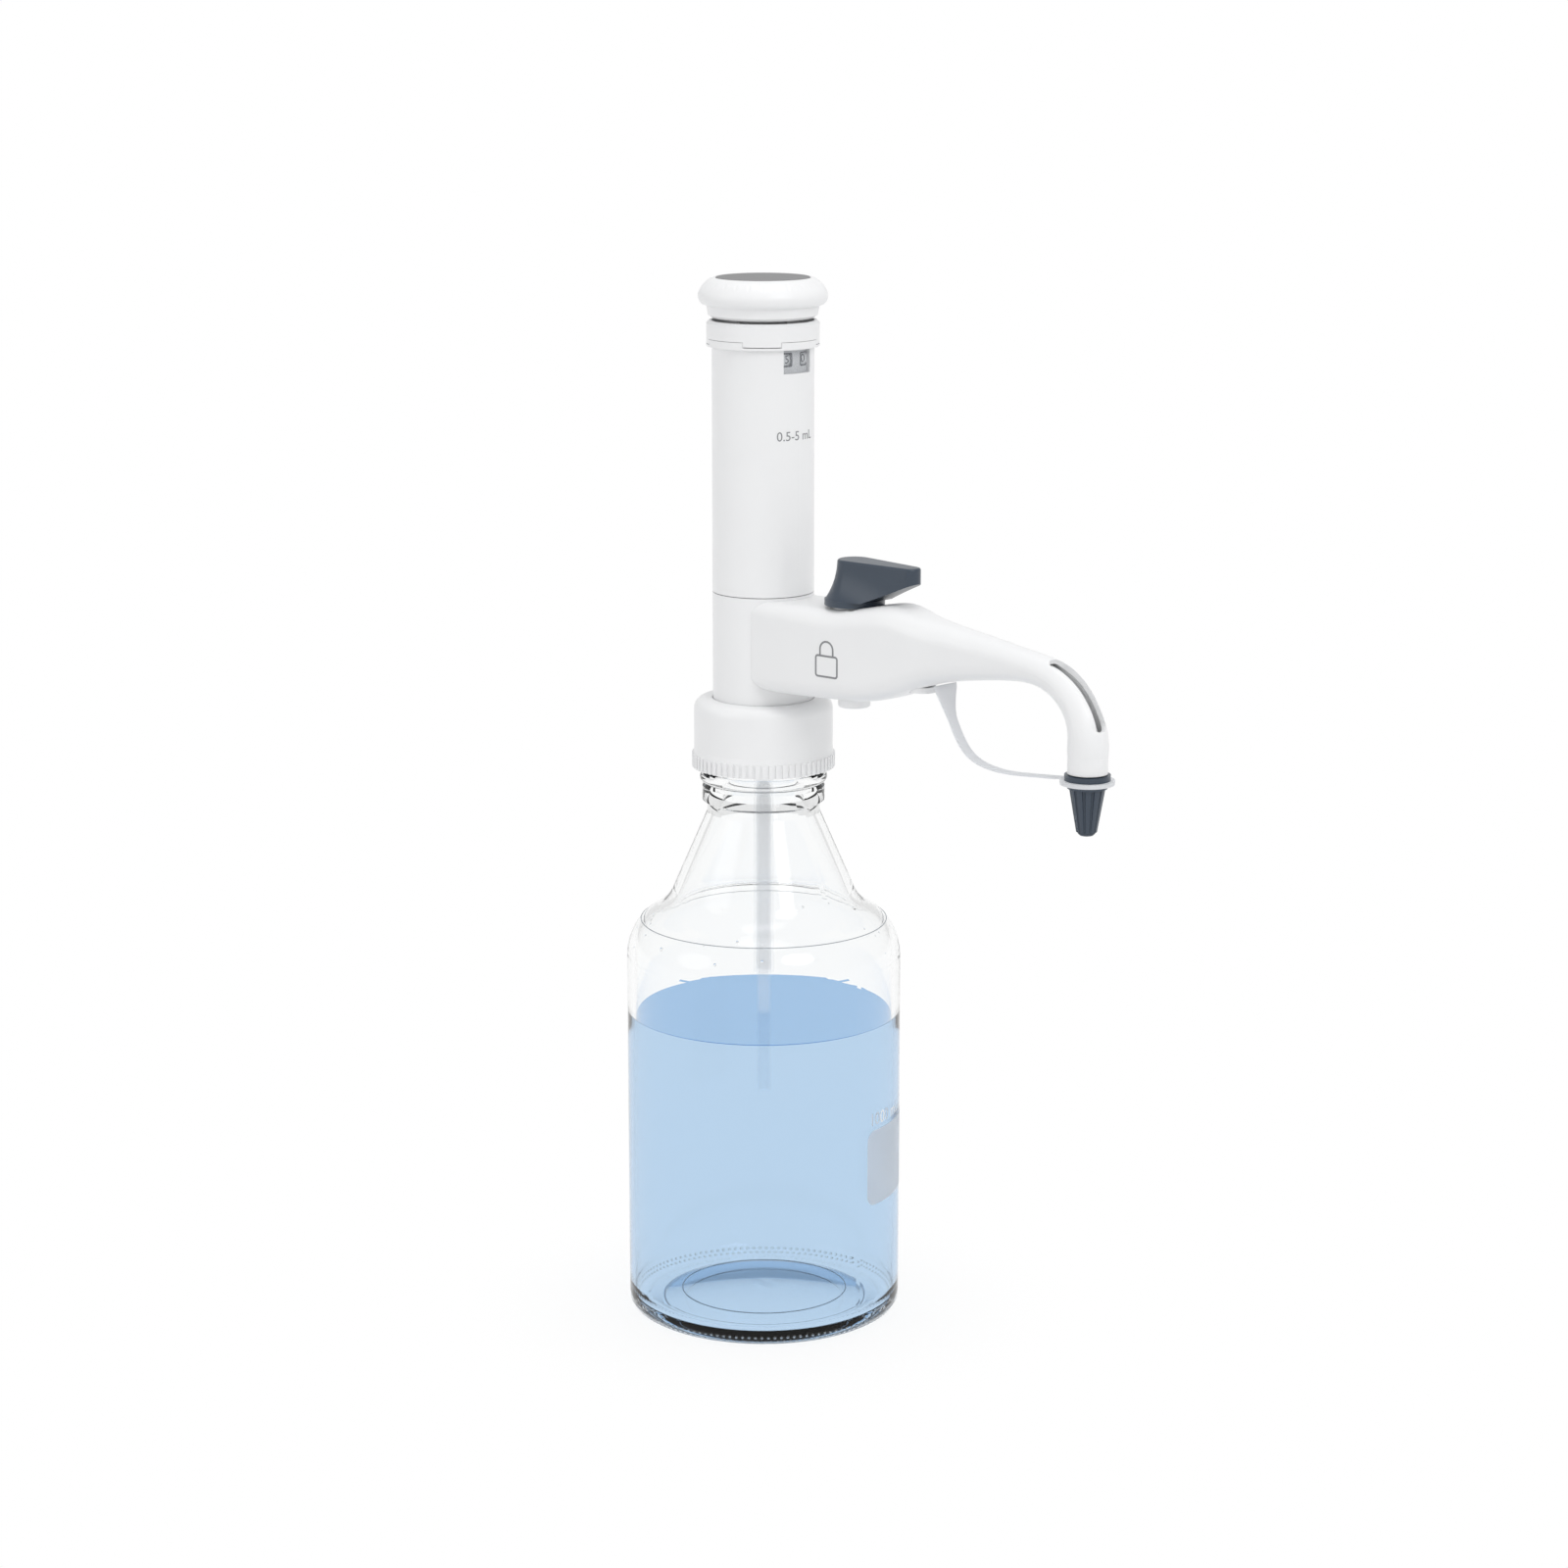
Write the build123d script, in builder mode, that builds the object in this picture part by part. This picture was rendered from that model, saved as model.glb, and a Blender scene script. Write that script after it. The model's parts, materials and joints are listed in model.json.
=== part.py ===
from build123d import *
import math
import os

os.makedirs("parts", exist_ok=True)

# A bottle-top dispenser on its one-litre glass bottle, in millimetres.
# The origin is the middle of the bottle's foot, +Z is up and the spout arm points along +X.

# Bottle
bottle_height = 225.0
bottle_radius = 50.5
glass_wall = 3.0
base_thickness = 5.0
heel_radius = 7.0
inner_heel_radius = 6.0
punt_radius = 37.0
punt_depth = 4.0
shoulder_height = 136.5
shoulder_radius = 20.0
shoulder_turn = 62.0
cone_blend_radius = 14.0
cone_angle = 23.5
neck_radius = 20.7
neck_bore_radius = 15.0
neck_ring_radius = 22.4
neck_ring_height = 7.6
bead_radius = 23.3
bead_height = 4.4
bead_drop = 23.5
thread_root_radius = 20.9
thread_crest_radius = 22.5
rim_round = 1.2
neck_ring_slope = 1.2

# Gasket and screw collar
gasket_thickness = 1.5
gasket_inner_radius = 15.6
gasket_outer_radius = 19.6
collar_radius = 25.35
collar_skirt = 25.4
collar_web = 3.2
collar_round = 4.0
thread_clearance = 0.4
knurl_radius = 26.15
knurl_height = 5.0
knurl_slope = 2.0
knurl_depth = 0.5
knurl_count = 66
knurl_tooth_share = 0.55

# Valve block
block_radius = 18.4
block_height = 39.0
flange_thickness = 3.0
flange_clearance = 0.6
spigot_radius = 14.5
spigot_length = 10.5
turning_gap = 0.3
cut_margin = 1.0
barrel_seat_depth = 21.0

# Piston and barrel
piston_radius = 6.5
piston_length = 9.0
piston_clearance = 0.05
seal_groove_depth = 1.0
seal_groove_height = 2.4
seal_groove_rise = 3.6
rod_radius = 4.0
rod_tip_radius = 2.5
rod_tip_length = 5.0
barrel_wall = 1.45
barrel_length = 51.0
barrel_flange_radius = 10.0
barrel_flange_height = 13.0
barrel_flange_thickness = 3.0
barrel_fit = 0.05
clamp_nut_radius = 12.5
clamp_nut_height = 6.0
spanner_hole_inset = 1.6
spanner_hole_radius = 0.9
spanner_hole_depth = 2.5
spanner_hole_count = 4
chamber_height = 6.0
chamber_radius = 5.5
stroke = 37.7

# Filling valve and tubes
valve_ball_radius = 2.5
valve_seat_radius = 1.6
valve_cage_radius = 3.3
valve_ball_lift = 1.5
valve_ball_gap = 0.02
passage_radius = 2.0
filling_valve_radius = 6.0
filling_valve_flange_radius = 9.0
filling_valve_flange = 2.5
filling_valve_height = 15.0
filling_seat_depth = 5.0
nipple_radius = 2.7
nipple_length = 10.0
upper_tube_radius = 3.7
upper_tube_length = 84.0
lower_tube_radius = 2.6
lower_tube_bore = 1.9
lower_tube_length = 116.0
lower_tube_end = 84.0

# Sleeve, guard tube and rings
sleeve_radius = 18.4
sleeve_wall = 1.4
sleeve_gap = 0.3
sleeve_length = 94.0
guard_gap = 0.4
guard_wall = 1.4
guard_seat_depth = 6.0
guard_length = 74.0
guard_lip_radius = 11.0
guard_lip_thickness = 2.5
ring_radius = 20.3
lower_ring_drop = 5.5
lower_ring_height = 2.8
upper_ring_height = 6.5
ring_tab_drop = 1.7
ring_tab_angle = 40.0
ring_tab_count = 4
ring_tab_ease = 0.3
ring_seam = 0.15
ring_web = 2.0
ring_chamfer = 1.0
window_width = 13.0
window_height = 8.5
lens_thickness = 0.8
lens_inset = 0.4
small_chamfer = 0.3

# Volume stop
nut_outer_radius = 10.0
nut_height = 6.0
nut_gap = 0.2
nut_flange_radius = 14.5
nut_flange_thickness = 1.8
nut_skirt_wall = 1.4
guide_rod_radius = 0.8
guide_rod_offset = 6.9
guide_rod_gap = 1.0
thread_fit = 0.05
stop_gap = 0.2
rod_cover = 2.0

# Counter
wheel_radius = 6.0
wheel_width = 4.0
wheel_gap = 0.3
wheel_rise = 0.6
worm_gear_width = 3.6
worm_gear_teeth = 12
worm_tooth_depth = 0.9
worm_tooth_width = 1.6
worm_tooth_root = 0.4
axle_radius = 1.0
axle_fit = 0.05
cheek_thickness = 1.4
cheek_margin = 1.5
frame_plate = 2.5

# Knob
knob_radius = 23.3
knob_skirt_radius = 19.9
knob_foot_radius = 18.2
knob_height = 14.3
knob_gap = 0.9
knob_rim_height = 7.4
knob_rim_drop = 3.0
knob_rim_slope = 2.2
knob_rim_inset = 1.0
knob_dome_inset = 1.3
knob_dome_drop = 3.4
knob_lip_width = 0.5
knob_lip_drop = 0.1
knob_lip_depth = 0.3
knob_neck_flare = 0.4
knob_neck_inset = 0.2
knob_foot_rise = 1.0
knob_boss_radius = 8.6
knob_boss_drop = 2.2
knob_wall = 2.2
knob_deck = 3.0
flute_count = 28
flute_radius = 2.4
flute_depth = 0.5
flute_bulge = 1.85
flute_length = 8.0
disc_radius = 17.0
disc_thickness = 2.0
clip_radius = 10.6
clip_thickness = 1.2
clip_groove_depth = 0.8
clip_mouth = 5.0

# Arm
arm_clearance = 5.8
arm_axis_height = 26.8
arm_wall = 1.6
arm_rear = 6.0
arm_fit = 0.05
valve_reach = 46.5
spout_reach = 156.7
bend_radius = 25.1
spout_radius = 6.9
spout_drop = 6.0
slot_width = 7.4
slot_start_angle = 74.0
slot_end_angle = 16.0
slot_corner = 3.3
recess_radius = 11.6

# Discharge valve
port_radius = 1.75
inlet_radius = 4.2
inlet_seat_depth = 3.0
discharge_seat_rise = 1.2
tower_reach = 29.0
tower_radius = 5.5
tower_foot = 4.4
tower_rise = 6.4
tower_plug_radius = 4.3
tower_plug_height = 2.0
tower_stem_radius = 2.2
tower_plug_clearance = 0.6
cone_socket_radius = 8.2
rotor_radius = 5.0
rotor_fit = 0.05
rotor_foot = 15.6
rotor_bore_radius = 1.6
stem_radius = 3.4
plug_head_radius = 5.75
plug_head_thickness = 3.4
plug_head_chamfer = 0.4
anchor_reach = 80.0
anchor_radius = 4.7
anchor_head = 2.0
anchor_rise = 9.2
anchor_seat_depth = 6.0
anchor_spigot_radius = 2.5
anchor_spigot_length = 5.0

# Delivery tube and spout
delivery_tube_radius = 1.8
delivery_tube_bore = 1.1
delivery_tube_start = 1.0
outlet_stub_radius = 3.2
outlet_stub_length = 9.0
tube_tip_drop = 10.7
bush_length = 3.3

# Lever
lever_disc_radius = 10.75
lever_disc_thickness = 2.2
lever_gap = 0.4
lever_height = 14.0
lever_top_radius = 6.2
lever_tip_radius = 3.65
lever_tip_reach = 30.8
lever_tip_rise = 8.9
lever_socket_depth = 8.0
lever_edge_round = 0.8
lever_foot_inset = 0.3

# Nozzle cap and strap
cap_flange_radius = 7.85
cap_flange_thickness = 1.9
cap_gap = 0.4
cap_length = 21.0
cap_body_radius = 6.15
cap_tip_radius = 3.25
cap_bore_radius = 2.3
cap_bore_spare = 3.0
cap_shoulder_radius = 6.85
cap_shoulder_height = 1.4
cap_tip_height = 1.2
cap_tip_step = 0.3
cap_tip_chamfer = 0.6
cap_flute_count = 12
cap_flute_depth = 0.6
cap_groove_radius = 6.6
cap_groove_height = 1.4
lug_count = 6
lug_height = 2.6
lug_thickness = 1.2
lug_clearance = 0.3
lug_gap = 1.6
strap_ring_radius = 9.35
strap_thickness = 0.8
strap_width = 4.5
strap_root_width = 11.6
strap_root_reach = 90.0
strap_root_rise = 11.2

# Heights that follow from the sizes above
rim_top = bottle_height
flange_bottom = rim_top + gasket_thickness
flange_top = flange_bottom + flange_thickness
collar_top = flange_top + turning_gap + collar_web
collar_bottom = collar_top - collar_skirt
collar_bore_radius = thread_crest_radius + thread_clearance
flange_radius = collar_bore_radius - flange_clearance
block_top = collar_top + block_height
barrel_bottom = block_top - barrel_seat_depth
chamber_bottom = barrel_bottom - chamber_height
barrel_bore = piston_radius + piston_clearance
barrel_radius = barrel_bore + barrel_wall
barrel_top = barrel_bottom + barrel_length
piston_bottom = barrel_bottom + turning_gap
piston_top = piston_bottom + piston_length
sleeve_bottom = block_top + sleeve_gap
sleeve_bore = sleeve_radius - sleeve_wall
sleeve_top = sleeve_bottom + sleeve_length
guard_radius = sleeve_bore - guard_gap
guard_bore = guard_radius - guard_wall
guard_bottom = block_top - guard_seat_depth
guard_top = guard_bottom + guard_length
lower_ring_bottom = sleeve_top - lower_ring_drop
upper_ring_bottom = lower_ring_bottom + lower_ring_height
upper_ring_top = upper_ring_bottom + upper_ring_height
knob_bottom = upper_ring_top + knob_gap
knob_top = knob_bottom + knob_height
arm_axis = collar_top + arm_axis_height
arm_bottom = collar_top + arm_clearance
port_height = (chamber_bottom + barrel_bottom) / 2
bend_x = spout_reach - bend_radius
bend_z = arm_axis - bend_radius
spout_bottom = bend_z - spout_drop


def band(inner, outer, bottom, top, mode=Mode.ADD):
    """A rectangle of the half-section, from one radius to another between two heights."""
    with Locations(((inner + outer) / 2, (bottom + top) / 2)):
        Rectangle(outer - inner, top - bottom, mode=mode)


def save(part, name):
    """Label a finished piece and write it under its own name."""
    part.label = name
    export_step(part, f"parts/{name}.step")


def ball_height(seat):
    """Where the middle of a valve ball is when it rests on a round seat at this height."""
    return seat + math.sqrt(valve_ball_radius**2 - valve_seat_radius**2) + valve_ball_gap


def cage_height(seat):
    """Where the cage over a valve ball ends, so that the ball can rise by its lift."""
    stop = math.sqrt(valve_ball_radius**2 - passage_radius**2)
    return ball_height(seat) + valve_ball_lift + stop + valve_ball_gap


# Glass bottle
blend_turn = math.radians(shoulder_turn)
cone_turn = math.radians(cone_angle)
shoulder_x = bottle_radius - shoulder_radius
blend_x = shoulder_x + (shoulder_radius + cone_blend_radius) * math.cos(blend_turn)
blend_z = shoulder_height + (shoulder_radius + cone_blend_radius) * math.sin(blend_turn)


def shoulder_line(inset, side_foot, neck):
    """The side, shoulder and cone of the bottle, set in from the outer face, up to a neck radius."""
    convex = shoulder_radius - inset
    hollow = cone_blend_radius + inset
    side = bottle_radius - inset
    turn = (shoulder_x + convex * math.cos(blend_turn), shoulder_height + convex * math.sin(blend_turn))
    half = blend_turn / 2
    crown = (shoulder_x + convex * math.cos(half), shoulder_height + convex * math.sin(half))
    middle = (blend_turn + cone_turn) / 2
    waist = (blend_x - hollow * math.cos(middle), blend_z - hollow * math.sin(middle))
    foot = (blend_x - hollow * math.cos(cone_turn), blend_z - hollow * math.sin(cone_turn))
    top = (neck, foot[1] + (foot[0] - neck) / math.tan(cone_turn))
    Line((side, side_foot), (side, shoulder_height))
    ThreePointArc((side, shoulder_height), crown, turn)
    ThreePointArc(turn, waist, foot)
    Line(foot, top)
    return top


bead_top = rim_top - bead_drop + bead_height
ring_top = bead_top - bead_height
ring_bottom = ring_top - neck_ring_height
side_bore = bottle_radius - glass_wall
heel_foot = bottle_radius - heel_radius
floor_edge = side_bore - inner_heel_radius
with BuildPart() as glass_bottle:
    with BuildSketch(Plane.XZ):
        with BuildLine():
            Line((punt_radius, 0), (heel_foot, 0))
            TangentArc((heel_foot, 0), (bottle_radius, heel_radius), tangent=(1, 0))
            neck_foot = shoulder_line(0, heel_radius, neck_radius)
            Polyline(
                neck_foot,
                (neck_radius, ring_bottom),
                (neck_ring_radius, ring_bottom + neck_ring_slope),
                (neck_ring_radius, ring_top - neck_ring_slope),
                (neck_radius + neck_ring_slope / 2, ring_top),
            )
            ThreePointArc(
                (neck_radius + neck_ring_slope / 2, ring_top),
                (bead_radius, (ring_top + bead_top) / 2),
                (thread_root_radius, bead_top),
            )
            Polyline(
                (thread_root_radius, bead_top),
                (thread_root_radius, rim_top - rim_round),
                (thread_root_radius - rim_round, rim_top),
                (neck_bore_radius + rim_round, rim_top),
                (neck_bore_radius, rim_top - rim_round),
            )
            bore_foot = shoulder_line(glass_wall, base_thickness + inner_heel_radius, neck_bore_radius)
            Line(bore_foot, (neck_bore_radius, rim_top - rim_round))
            TangentArc(
                (side_bore, base_thickness + inner_heel_radius),
                (floor_edge, base_thickness),
                tangent=(0, -1),
            )
            TangentArc(
                (0, base_thickness + punt_depth),
                (floor_edge, base_thickness),
                tangent=(1, 0),
            )
            Line((0, base_thickness + punt_depth), (0, punt_depth))
            TangentArc((0, punt_depth), (punt_radius, 0), tangent=(1, 0))
        make_face()
    revolve(axis=Axis.Z)
save(glass_bottle.part, "glass_bottle")

# Flat gasket on the rim
with BuildPart() as neck_gasket:
    with BuildSketch(Plane.XZ):
        band(gasket_inner_radius, gasket_outer_radius, rim_top, flange_bottom)
    revolve(axis=Axis.Z)
save(neck_gasket.part, "neck_gasket")

# Screw collar that holds the valve block down on the rim
tooth_pitch = 2 * math.pi * knurl_radius / knurl_count
knurl_top = collar_bottom + knurl_height
with BuildPart() as screw_collar:
    with BuildSketch(Plane.XZ) as collar_section:
        with BuildLine():
            Polyline(
                (collar_bore_radius, collar_bottom),
                (knurl_radius - knurl_depth, collar_bottom),
                (knurl_radius - knurl_depth, knurl_top),
                (collar_radius, knurl_top + knurl_slope),
                (collar_radius, collar_top),
                (block_radius + turning_gap, collar_top),
                (block_radius + turning_gap, flange_top + turning_gap),
                (collar_bore_radius, flange_top + turning_gap),
                close=True,
            )
        make_face()
        corner = collar_section.vertices().sort_by(lambda v: v.X + v.Y)[-1]
        fillet(corner, radius=collar_round)
    revolve(axis=Axis.Z)
    with BuildSketch(Plane.XY.offset(collar_bottom)):
        Circle(knurl_radius - knurl_depth)
        with PolarLocations(knurl_radius - knurl_depth, knurl_count):
            Rectangle(2 * knurl_depth, knurl_tooth_share * tooth_pitch)
        Circle(collar_bore_radius, mode=Mode.SUBTRACT)
    extrude(amount=knurl_height)
save(screw_collar.part, "screw_collar")

# Valve block
filling_valve_top = flange_bottom - spigot_length + filling_valve_height
ball_seat = filling_valve_top - filling_seat_depth
with BuildPart() as valve_block:
    with BuildSketch(Plane.XZ):
        band(0, spigot_radius, flange_bottom - spigot_length, flange_bottom)
        band(0, flange_radius, flange_bottom, flange_top)
        band(0, block_radius, flange_top, block_top)
        band(0, filling_valve_radius, flange_bottom - spigot_length, filling_valve_top, Mode.SUBTRACT)
        band(0, passage_radius, filling_valve_top, chamber_bottom, Mode.SUBTRACT)
        band(0, chamber_radius, chamber_bottom, barrel_bottom, Mode.SUBTRACT)
        band(0, barrel_radius + barrel_fit, barrel_bottom, block_top, Mode.SUBTRACT)
        flange_seat = barrel_bottom + barrel_flange_height - barrel_flange_thickness
        band(0, barrel_flange_radius + barrel_fit, flange_seat, block_top, Mode.SUBTRACT)
        nut_seat = barrel_bottom + barrel_flange_height
        band(0, clamp_nut_radius + barrel_fit, nut_seat, block_top, Mode.SUBTRACT)
        band(guard_bore - barrel_fit, guard_radius + barrel_fit, guard_bottom, block_top, Mode.SUBTRACT)
    revolve(axis=Axis.Z)
    with BuildSketch(Plane.YZ.offset(block_radius + cut_margin)):
        with Locations((0, port_height)):
            Circle(port_radius)
    extrude(amount=-block_radius - cut_margin, mode=Mode.SUBTRACT)
    with BuildSketch(Plane.YZ.offset(block_radius + cut_margin)):
        with Locations((0, port_height)):
            Circle(inlet_radius + arm_fit)
    extrude(amount=-inlet_seat_depth - cut_margin, mode=Mode.SUBTRACT)
save(valve_block.part, "valve_block")

# Glass barrel, its clamp nut and the guard tube
with BuildPart() as glass_barrel:
    with BuildSketch(Plane.XZ):
        band(barrel_bore, barrel_radius, barrel_bottom, barrel_top)
        band(barrel_bore, barrel_flange_radius, flange_seat, nut_seat)
    revolve(axis=Axis.Z)
save(glass_barrel.part, "glass_barrel")

with BuildPart() as barrel_clamp_nut:
    with BuildSketch(Plane.XZ):
        band(barrel_radius + barrel_fit, clamp_nut_radius, nut_seat, nut_seat + clamp_nut_height)
    revolve(axis=Axis.Z)
    with BuildSketch(Plane.XY.offset(nut_seat + clamp_nut_height)):
        with PolarLocations(clamp_nut_radius - spanner_hole_inset, spanner_hole_count):
            Circle(spanner_hole_radius)
    extrude(amount=-spanner_hole_depth, mode=Mode.SUBTRACT)
save(barrel_clamp_nut.part, "barrel_clamp_nut")

with BuildPart() as guard_tube:
    with BuildSketch(Plane.XZ):
        band(guard_bore, guard_radius, guard_bottom, guard_top)
        band(guard_lip_radius, guard_radius, guard_top - guard_lip_thickness, guard_top)
    revolve(axis=Axis.Z)
save(guard_tube.part, "guard_tube")

# Filling valve: cage and nipple in one, with its loose ball
filling_valve_bottom = flange_bottom - spigot_length - filling_valve_flange
nipple_end = filling_valve_bottom - nipple_length
cage_top = cage_height(ball_seat)
with BuildPart() as filling_valve:
    with BuildSketch(Plane.XZ):
        band(0, filling_valve_radius - barrel_fit, filling_valve_bottom, filling_valve_top)
        band(0, filling_valve_flange_radius, filling_valve_bottom, flange_bottom - spigot_length)
        band(0, nipple_radius, nipple_end, filling_valve_bottom)
        band(0, valve_seat_radius, nipple_end, ball_seat, Mode.SUBTRACT)
        band(0, valve_cage_radius, ball_seat, cage_top, Mode.SUBTRACT)
        band(0, passage_radius, cage_top, filling_valve_top, Mode.SUBTRACT)
    revolve(axis=Axis.Z)
save(filling_valve.part, "filling_valve")

with BuildPart() as filling_valve_ball:
    with Locations((0, 0, ball_height(ball_seat))):
        Sphere(valve_ball_radius)
save(filling_valve_ball.part, "filling_valve_ball")

# Telescopic filling tube
upper_tube_top = filling_valve_bottom
with BuildPart() as upper_filling_tube:
    with BuildSketch(Plane.XZ):
        band(nipple_radius, upper_tube_radius, upper_tube_top - upper_tube_length, upper_tube_top)
    revolve(axis=Axis.Z)
save(upper_filling_tube.part, "upper_filling_tube")

with BuildPart() as lower_filling_tube:
    with BuildSketch(Plane.XZ):
        band(lower_tube_bore, lower_tube_radius, lower_tube_end, lower_tube_end + lower_tube_length)
    revolve(axis=Axis.Z)
save(lower_filling_tube.part, "lower_filling_tube")

# Outer sleeve with the window for the counter
window_bottom = lower_ring_bottom - window_height
with BuildPart() as sleeve:
    with BuildSketch(Plane.XZ):
        band(sleeve_bore, sleeve_radius, sleeve_bottom, sleeve_top)
    revolve(axis=Axis.Z)
    with BuildSketch(Plane.YZ.offset(sleeve_radius + cut_margin)):
        with Locations((0, (window_bottom + lower_ring_bottom) / 2)):
            Rectangle(window_width, window_height)
    extrude(amount=-sleeve_radius / 2, mode=Mode.SUBTRACT)
save(sleeve.part, "sleeve")

with BuildPart() as window_lens:
    with BuildSketch(Plane.XZ):
        lens_radius = sleeve_radius - lens_inset
        band(lens_radius - lens_thickness, lens_radius, window_bottom, lower_ring_bottom)
    revolve(axis=Axis.Z)
    with BuildSketch(Plane.YZ):
        with Locations((0, (window_bottom + lower_ring_bottom) / 2)):
            Rectangle(window_width, window_height)
    extrude(amount=sleeve_radius + cut_margin, mode=Mode.INTERSECT)
save(window_lens.part, "window_lens")

# Two rings at the head of the sleeve, keyed together by stepped tabs
def tab_sectors(radius, widening=0.0, mode=Mode.ADD):
    """Pie slices that cut the ring tabs out, for use inside a sketch."""
    half = math.radians(ring_tab_angle / 2 + widening)
    reach = radius / math.cos(half)
    with PolarLocations(0, ring_tab_count, start_angle=45):
        Polygon(
            (0, 0),
            (reach * math.cos(half), -reach * math.sin(half)),
            (reach * math.cos(half), reach * math.sin(half)),
            align=None,
            mode=mode,
        )


with BuildPart() as lower_ring:
    with BuildSketch(Plane.XZ):
        band(sleeve_radius, ring_radius, lower_ring_bottom, upper_ring_bottom)
    revolve(axis=Axis.Z)
    with BuildSketch(Plane.XY.offset(upper_ring_bottom - ring_tab_drop - ring_seam)):
        tab_sectors(ring_radius + cut_margin)
    extrude(amount=ring_tab_drop + 2 * ring_seam, mode=Mode.SUBTRACT)
    foot_edge = lower_ring.edges().filter_by(GeomType.CIRCLE).group_by(Axis.Z)[0]
    chamfer(foot_edge.sort_by(SortBy.RADIUS)[-1], length=small_chamfer)
save(lower_ring.part, "lower_ring")

with BuildPart() as upper_ring:
    with BuildSketch(Plane.XZ):
        band(sleeve_radius, ring_radius, upper_ring_bottom + ring_seam, upper_ring_top)
        band(knob_boss_radius + turning_gap, ring_radius, sleeve_top, sleeve_top + ring_web)
    revolve(axis=Axis.Z)
    with BuildSketch(Plane.XY.offset(upper_ring_bottom + ring_seam)):
        tab_sectors(ring_radius + cut_margin, -ring_tab_ease)
        Circle(ring_radius, mode=Mode.INTERSECT)
        Circle(sleeve_radius, mode=Mode.SUBTRACT)
    extrude(amount=-ring_tab_drop)
    top_edge = upper_ring.edges().filter_by(GeomType.CIRCLE).group_by(Axis.Z)[-1]
    chamfer(top_edge.sort_by(SortBy.RADIUS)[-1], length=ring_chamfer)
save(upper_ring.part, "upper_ring")

# Counter: frame plate with two cheeks, axle, two digit wheels and the worm gear between them
wheel_x = rod_radius + nut_gap + wheel_radius
wheel_z = (window_bottom + lower_ring_bottom) / 2 + wheel_rise
gear_half = worm_gear_width / 2
digit_inner = gear_half + wheel_gap
digit_outer = digit_inner + wheel_width
cheek_inner = digit_outer + wheel_gap
plate_top = wheel_z - wheel_radius - wheel_gap
plate_bottom = plate_top - frame_plate
with BuildPart() as counter_frame:
    with BuildSketch(Plane.XY.offset(plate_bottom)):
        Circle(sleeve_bore)
        Circle(rod_radius + thread_fit, mode=Mode.SUBTRACT)
    extrude(amount=frame_plate)
    for side in (-1, 1):
        with BuildSketch(Plane.XZ.offset(-side * (cheek_inner + cheek_thickness / 2))):
            with Locations((wheel_x, (plate_top + wheel_z) / 2)):
                Rectangle(2 * (axle_radius + cheek_margin), wheel_z - plate_top)
            with Locations((wheel_x, wheel_z)):
                Circle(axle_radius + cheek_margin)
        extrude(amount=cheek_thickness / 2, both=True)
    with BuildSketch(Plane.XZ):
        with Locations((wheel_x, wheel_z)):
            Circle(axle_radius)
    extrude(amount=2 * cheek_inner, both=True, mode=Mode.SUBTRACT)
save(counter_frame.part, "counter_frame")

with BuildPart() as counter_axle:
    with BuildSketch(Plane.XZ):
        with Locations((wheel_x, wheel_z)):
            Circle(axle_radius)
    extrude(amount=cheek_inner + cheek_thickness, both=True)
save(counter_axle.part, "counter_axle")

for name, side in (("units_wheel", -1), ("tenths_wheel", 1)):
    with BuildPart() as digit_wheel:
        with BuildSketch(Plane.XZ.offset(-side * (digit_inner + wheel_width / 2))):
            with Locations((wheel_x, wheel_z)):
                Circle(wheel_radius)
                Circle(axle_radius + axle_fit, mode=Mode.SUBTRACT)
        extrude(amount=wheel_width / 2, both=True)
        rims = digit_wheel.edges().filter_by(GeomType.CIRCLE).sort_by(SortBy.RADIUS)[-2:]
        chamfer(rims, length=small_chamfer)
    save(digit_wheel.part, name)

with BuildPart() as worm_gear:
    with BuildSketch(Plane.XZ):
        with Locations((wheel_x, wheel_z)):
            Circle(wheel_radius - worm_tooth_depth)
            tooth_middle = wheel_radius - (worm_tooth_depth + worm_tooth_root) / 2
            with PolarLocations(tooth_middle, worm_gear_teeth):
                Trapezoid(worm_tooth_width, worm_tooth_depth + worm_tooth_root, 70, rotation=-90)
            Circle(axle_radius + axle_fit, mode=Mode.SUBTRACT)
    extrude(amount=gear_half, both=True)
save(worm_gear.part, "worm_gear")

# Two rods that keep the stop nut from turning
rod_foot = barrel_top + guide_rod_gap
nut_bottom = rod_foot + nut_gap
with BuildPart() as guide_rods:
    for side in (-1, 1):
        with BuildSketch(Plane.XY.offset(rod_foot)):
            with Locations((0, side * guide_rod_offset)):
                Circle(guide_rod_radius)
        extrude(amount=plate_bottom - rod_foot)
save(guide_rods.part, "guide_rods")

# Stop nut: hub on the rod, skirt around the barrel and a flange that meets the guard tube's lip
nut_top = nut_bottom + nut_height
nut_flange_top = guard_top - guard_lip_thickness - stroke - stop_gap
nut_flange_bottom = nut_flange_top - nut_flange_thickness
nut_skirt_bore = nut_outer_radius - nut_skirt_wall
with BuildPart() as stop_nut:
    with BuildSketch(Plane.XZ):
        band(rod_radius + thread_fit, nut_outer_radius, nut_bottom, nut_top)
        band(nut_skirt_bore, nut_outer_radius, nut_flange_bottom, nut_bottom)
        band(nut_skirt_bore, nut_flange_radius, nut_flange_bottom, nut_flange_top)
    revolve(axis=Axis.Z)
    with BuildSketch(Plane.XY.offset(nut_bottom)):
        with Locations((0, guide_rod_offset), (0, -guide_rod_offset)):
            Circle(guide_rod_radius + thread_fit)
    extrude(amount=nut_height, mode=Mode.SUBTRACT)
save(stop_nut.part, "stop_nut")

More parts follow.
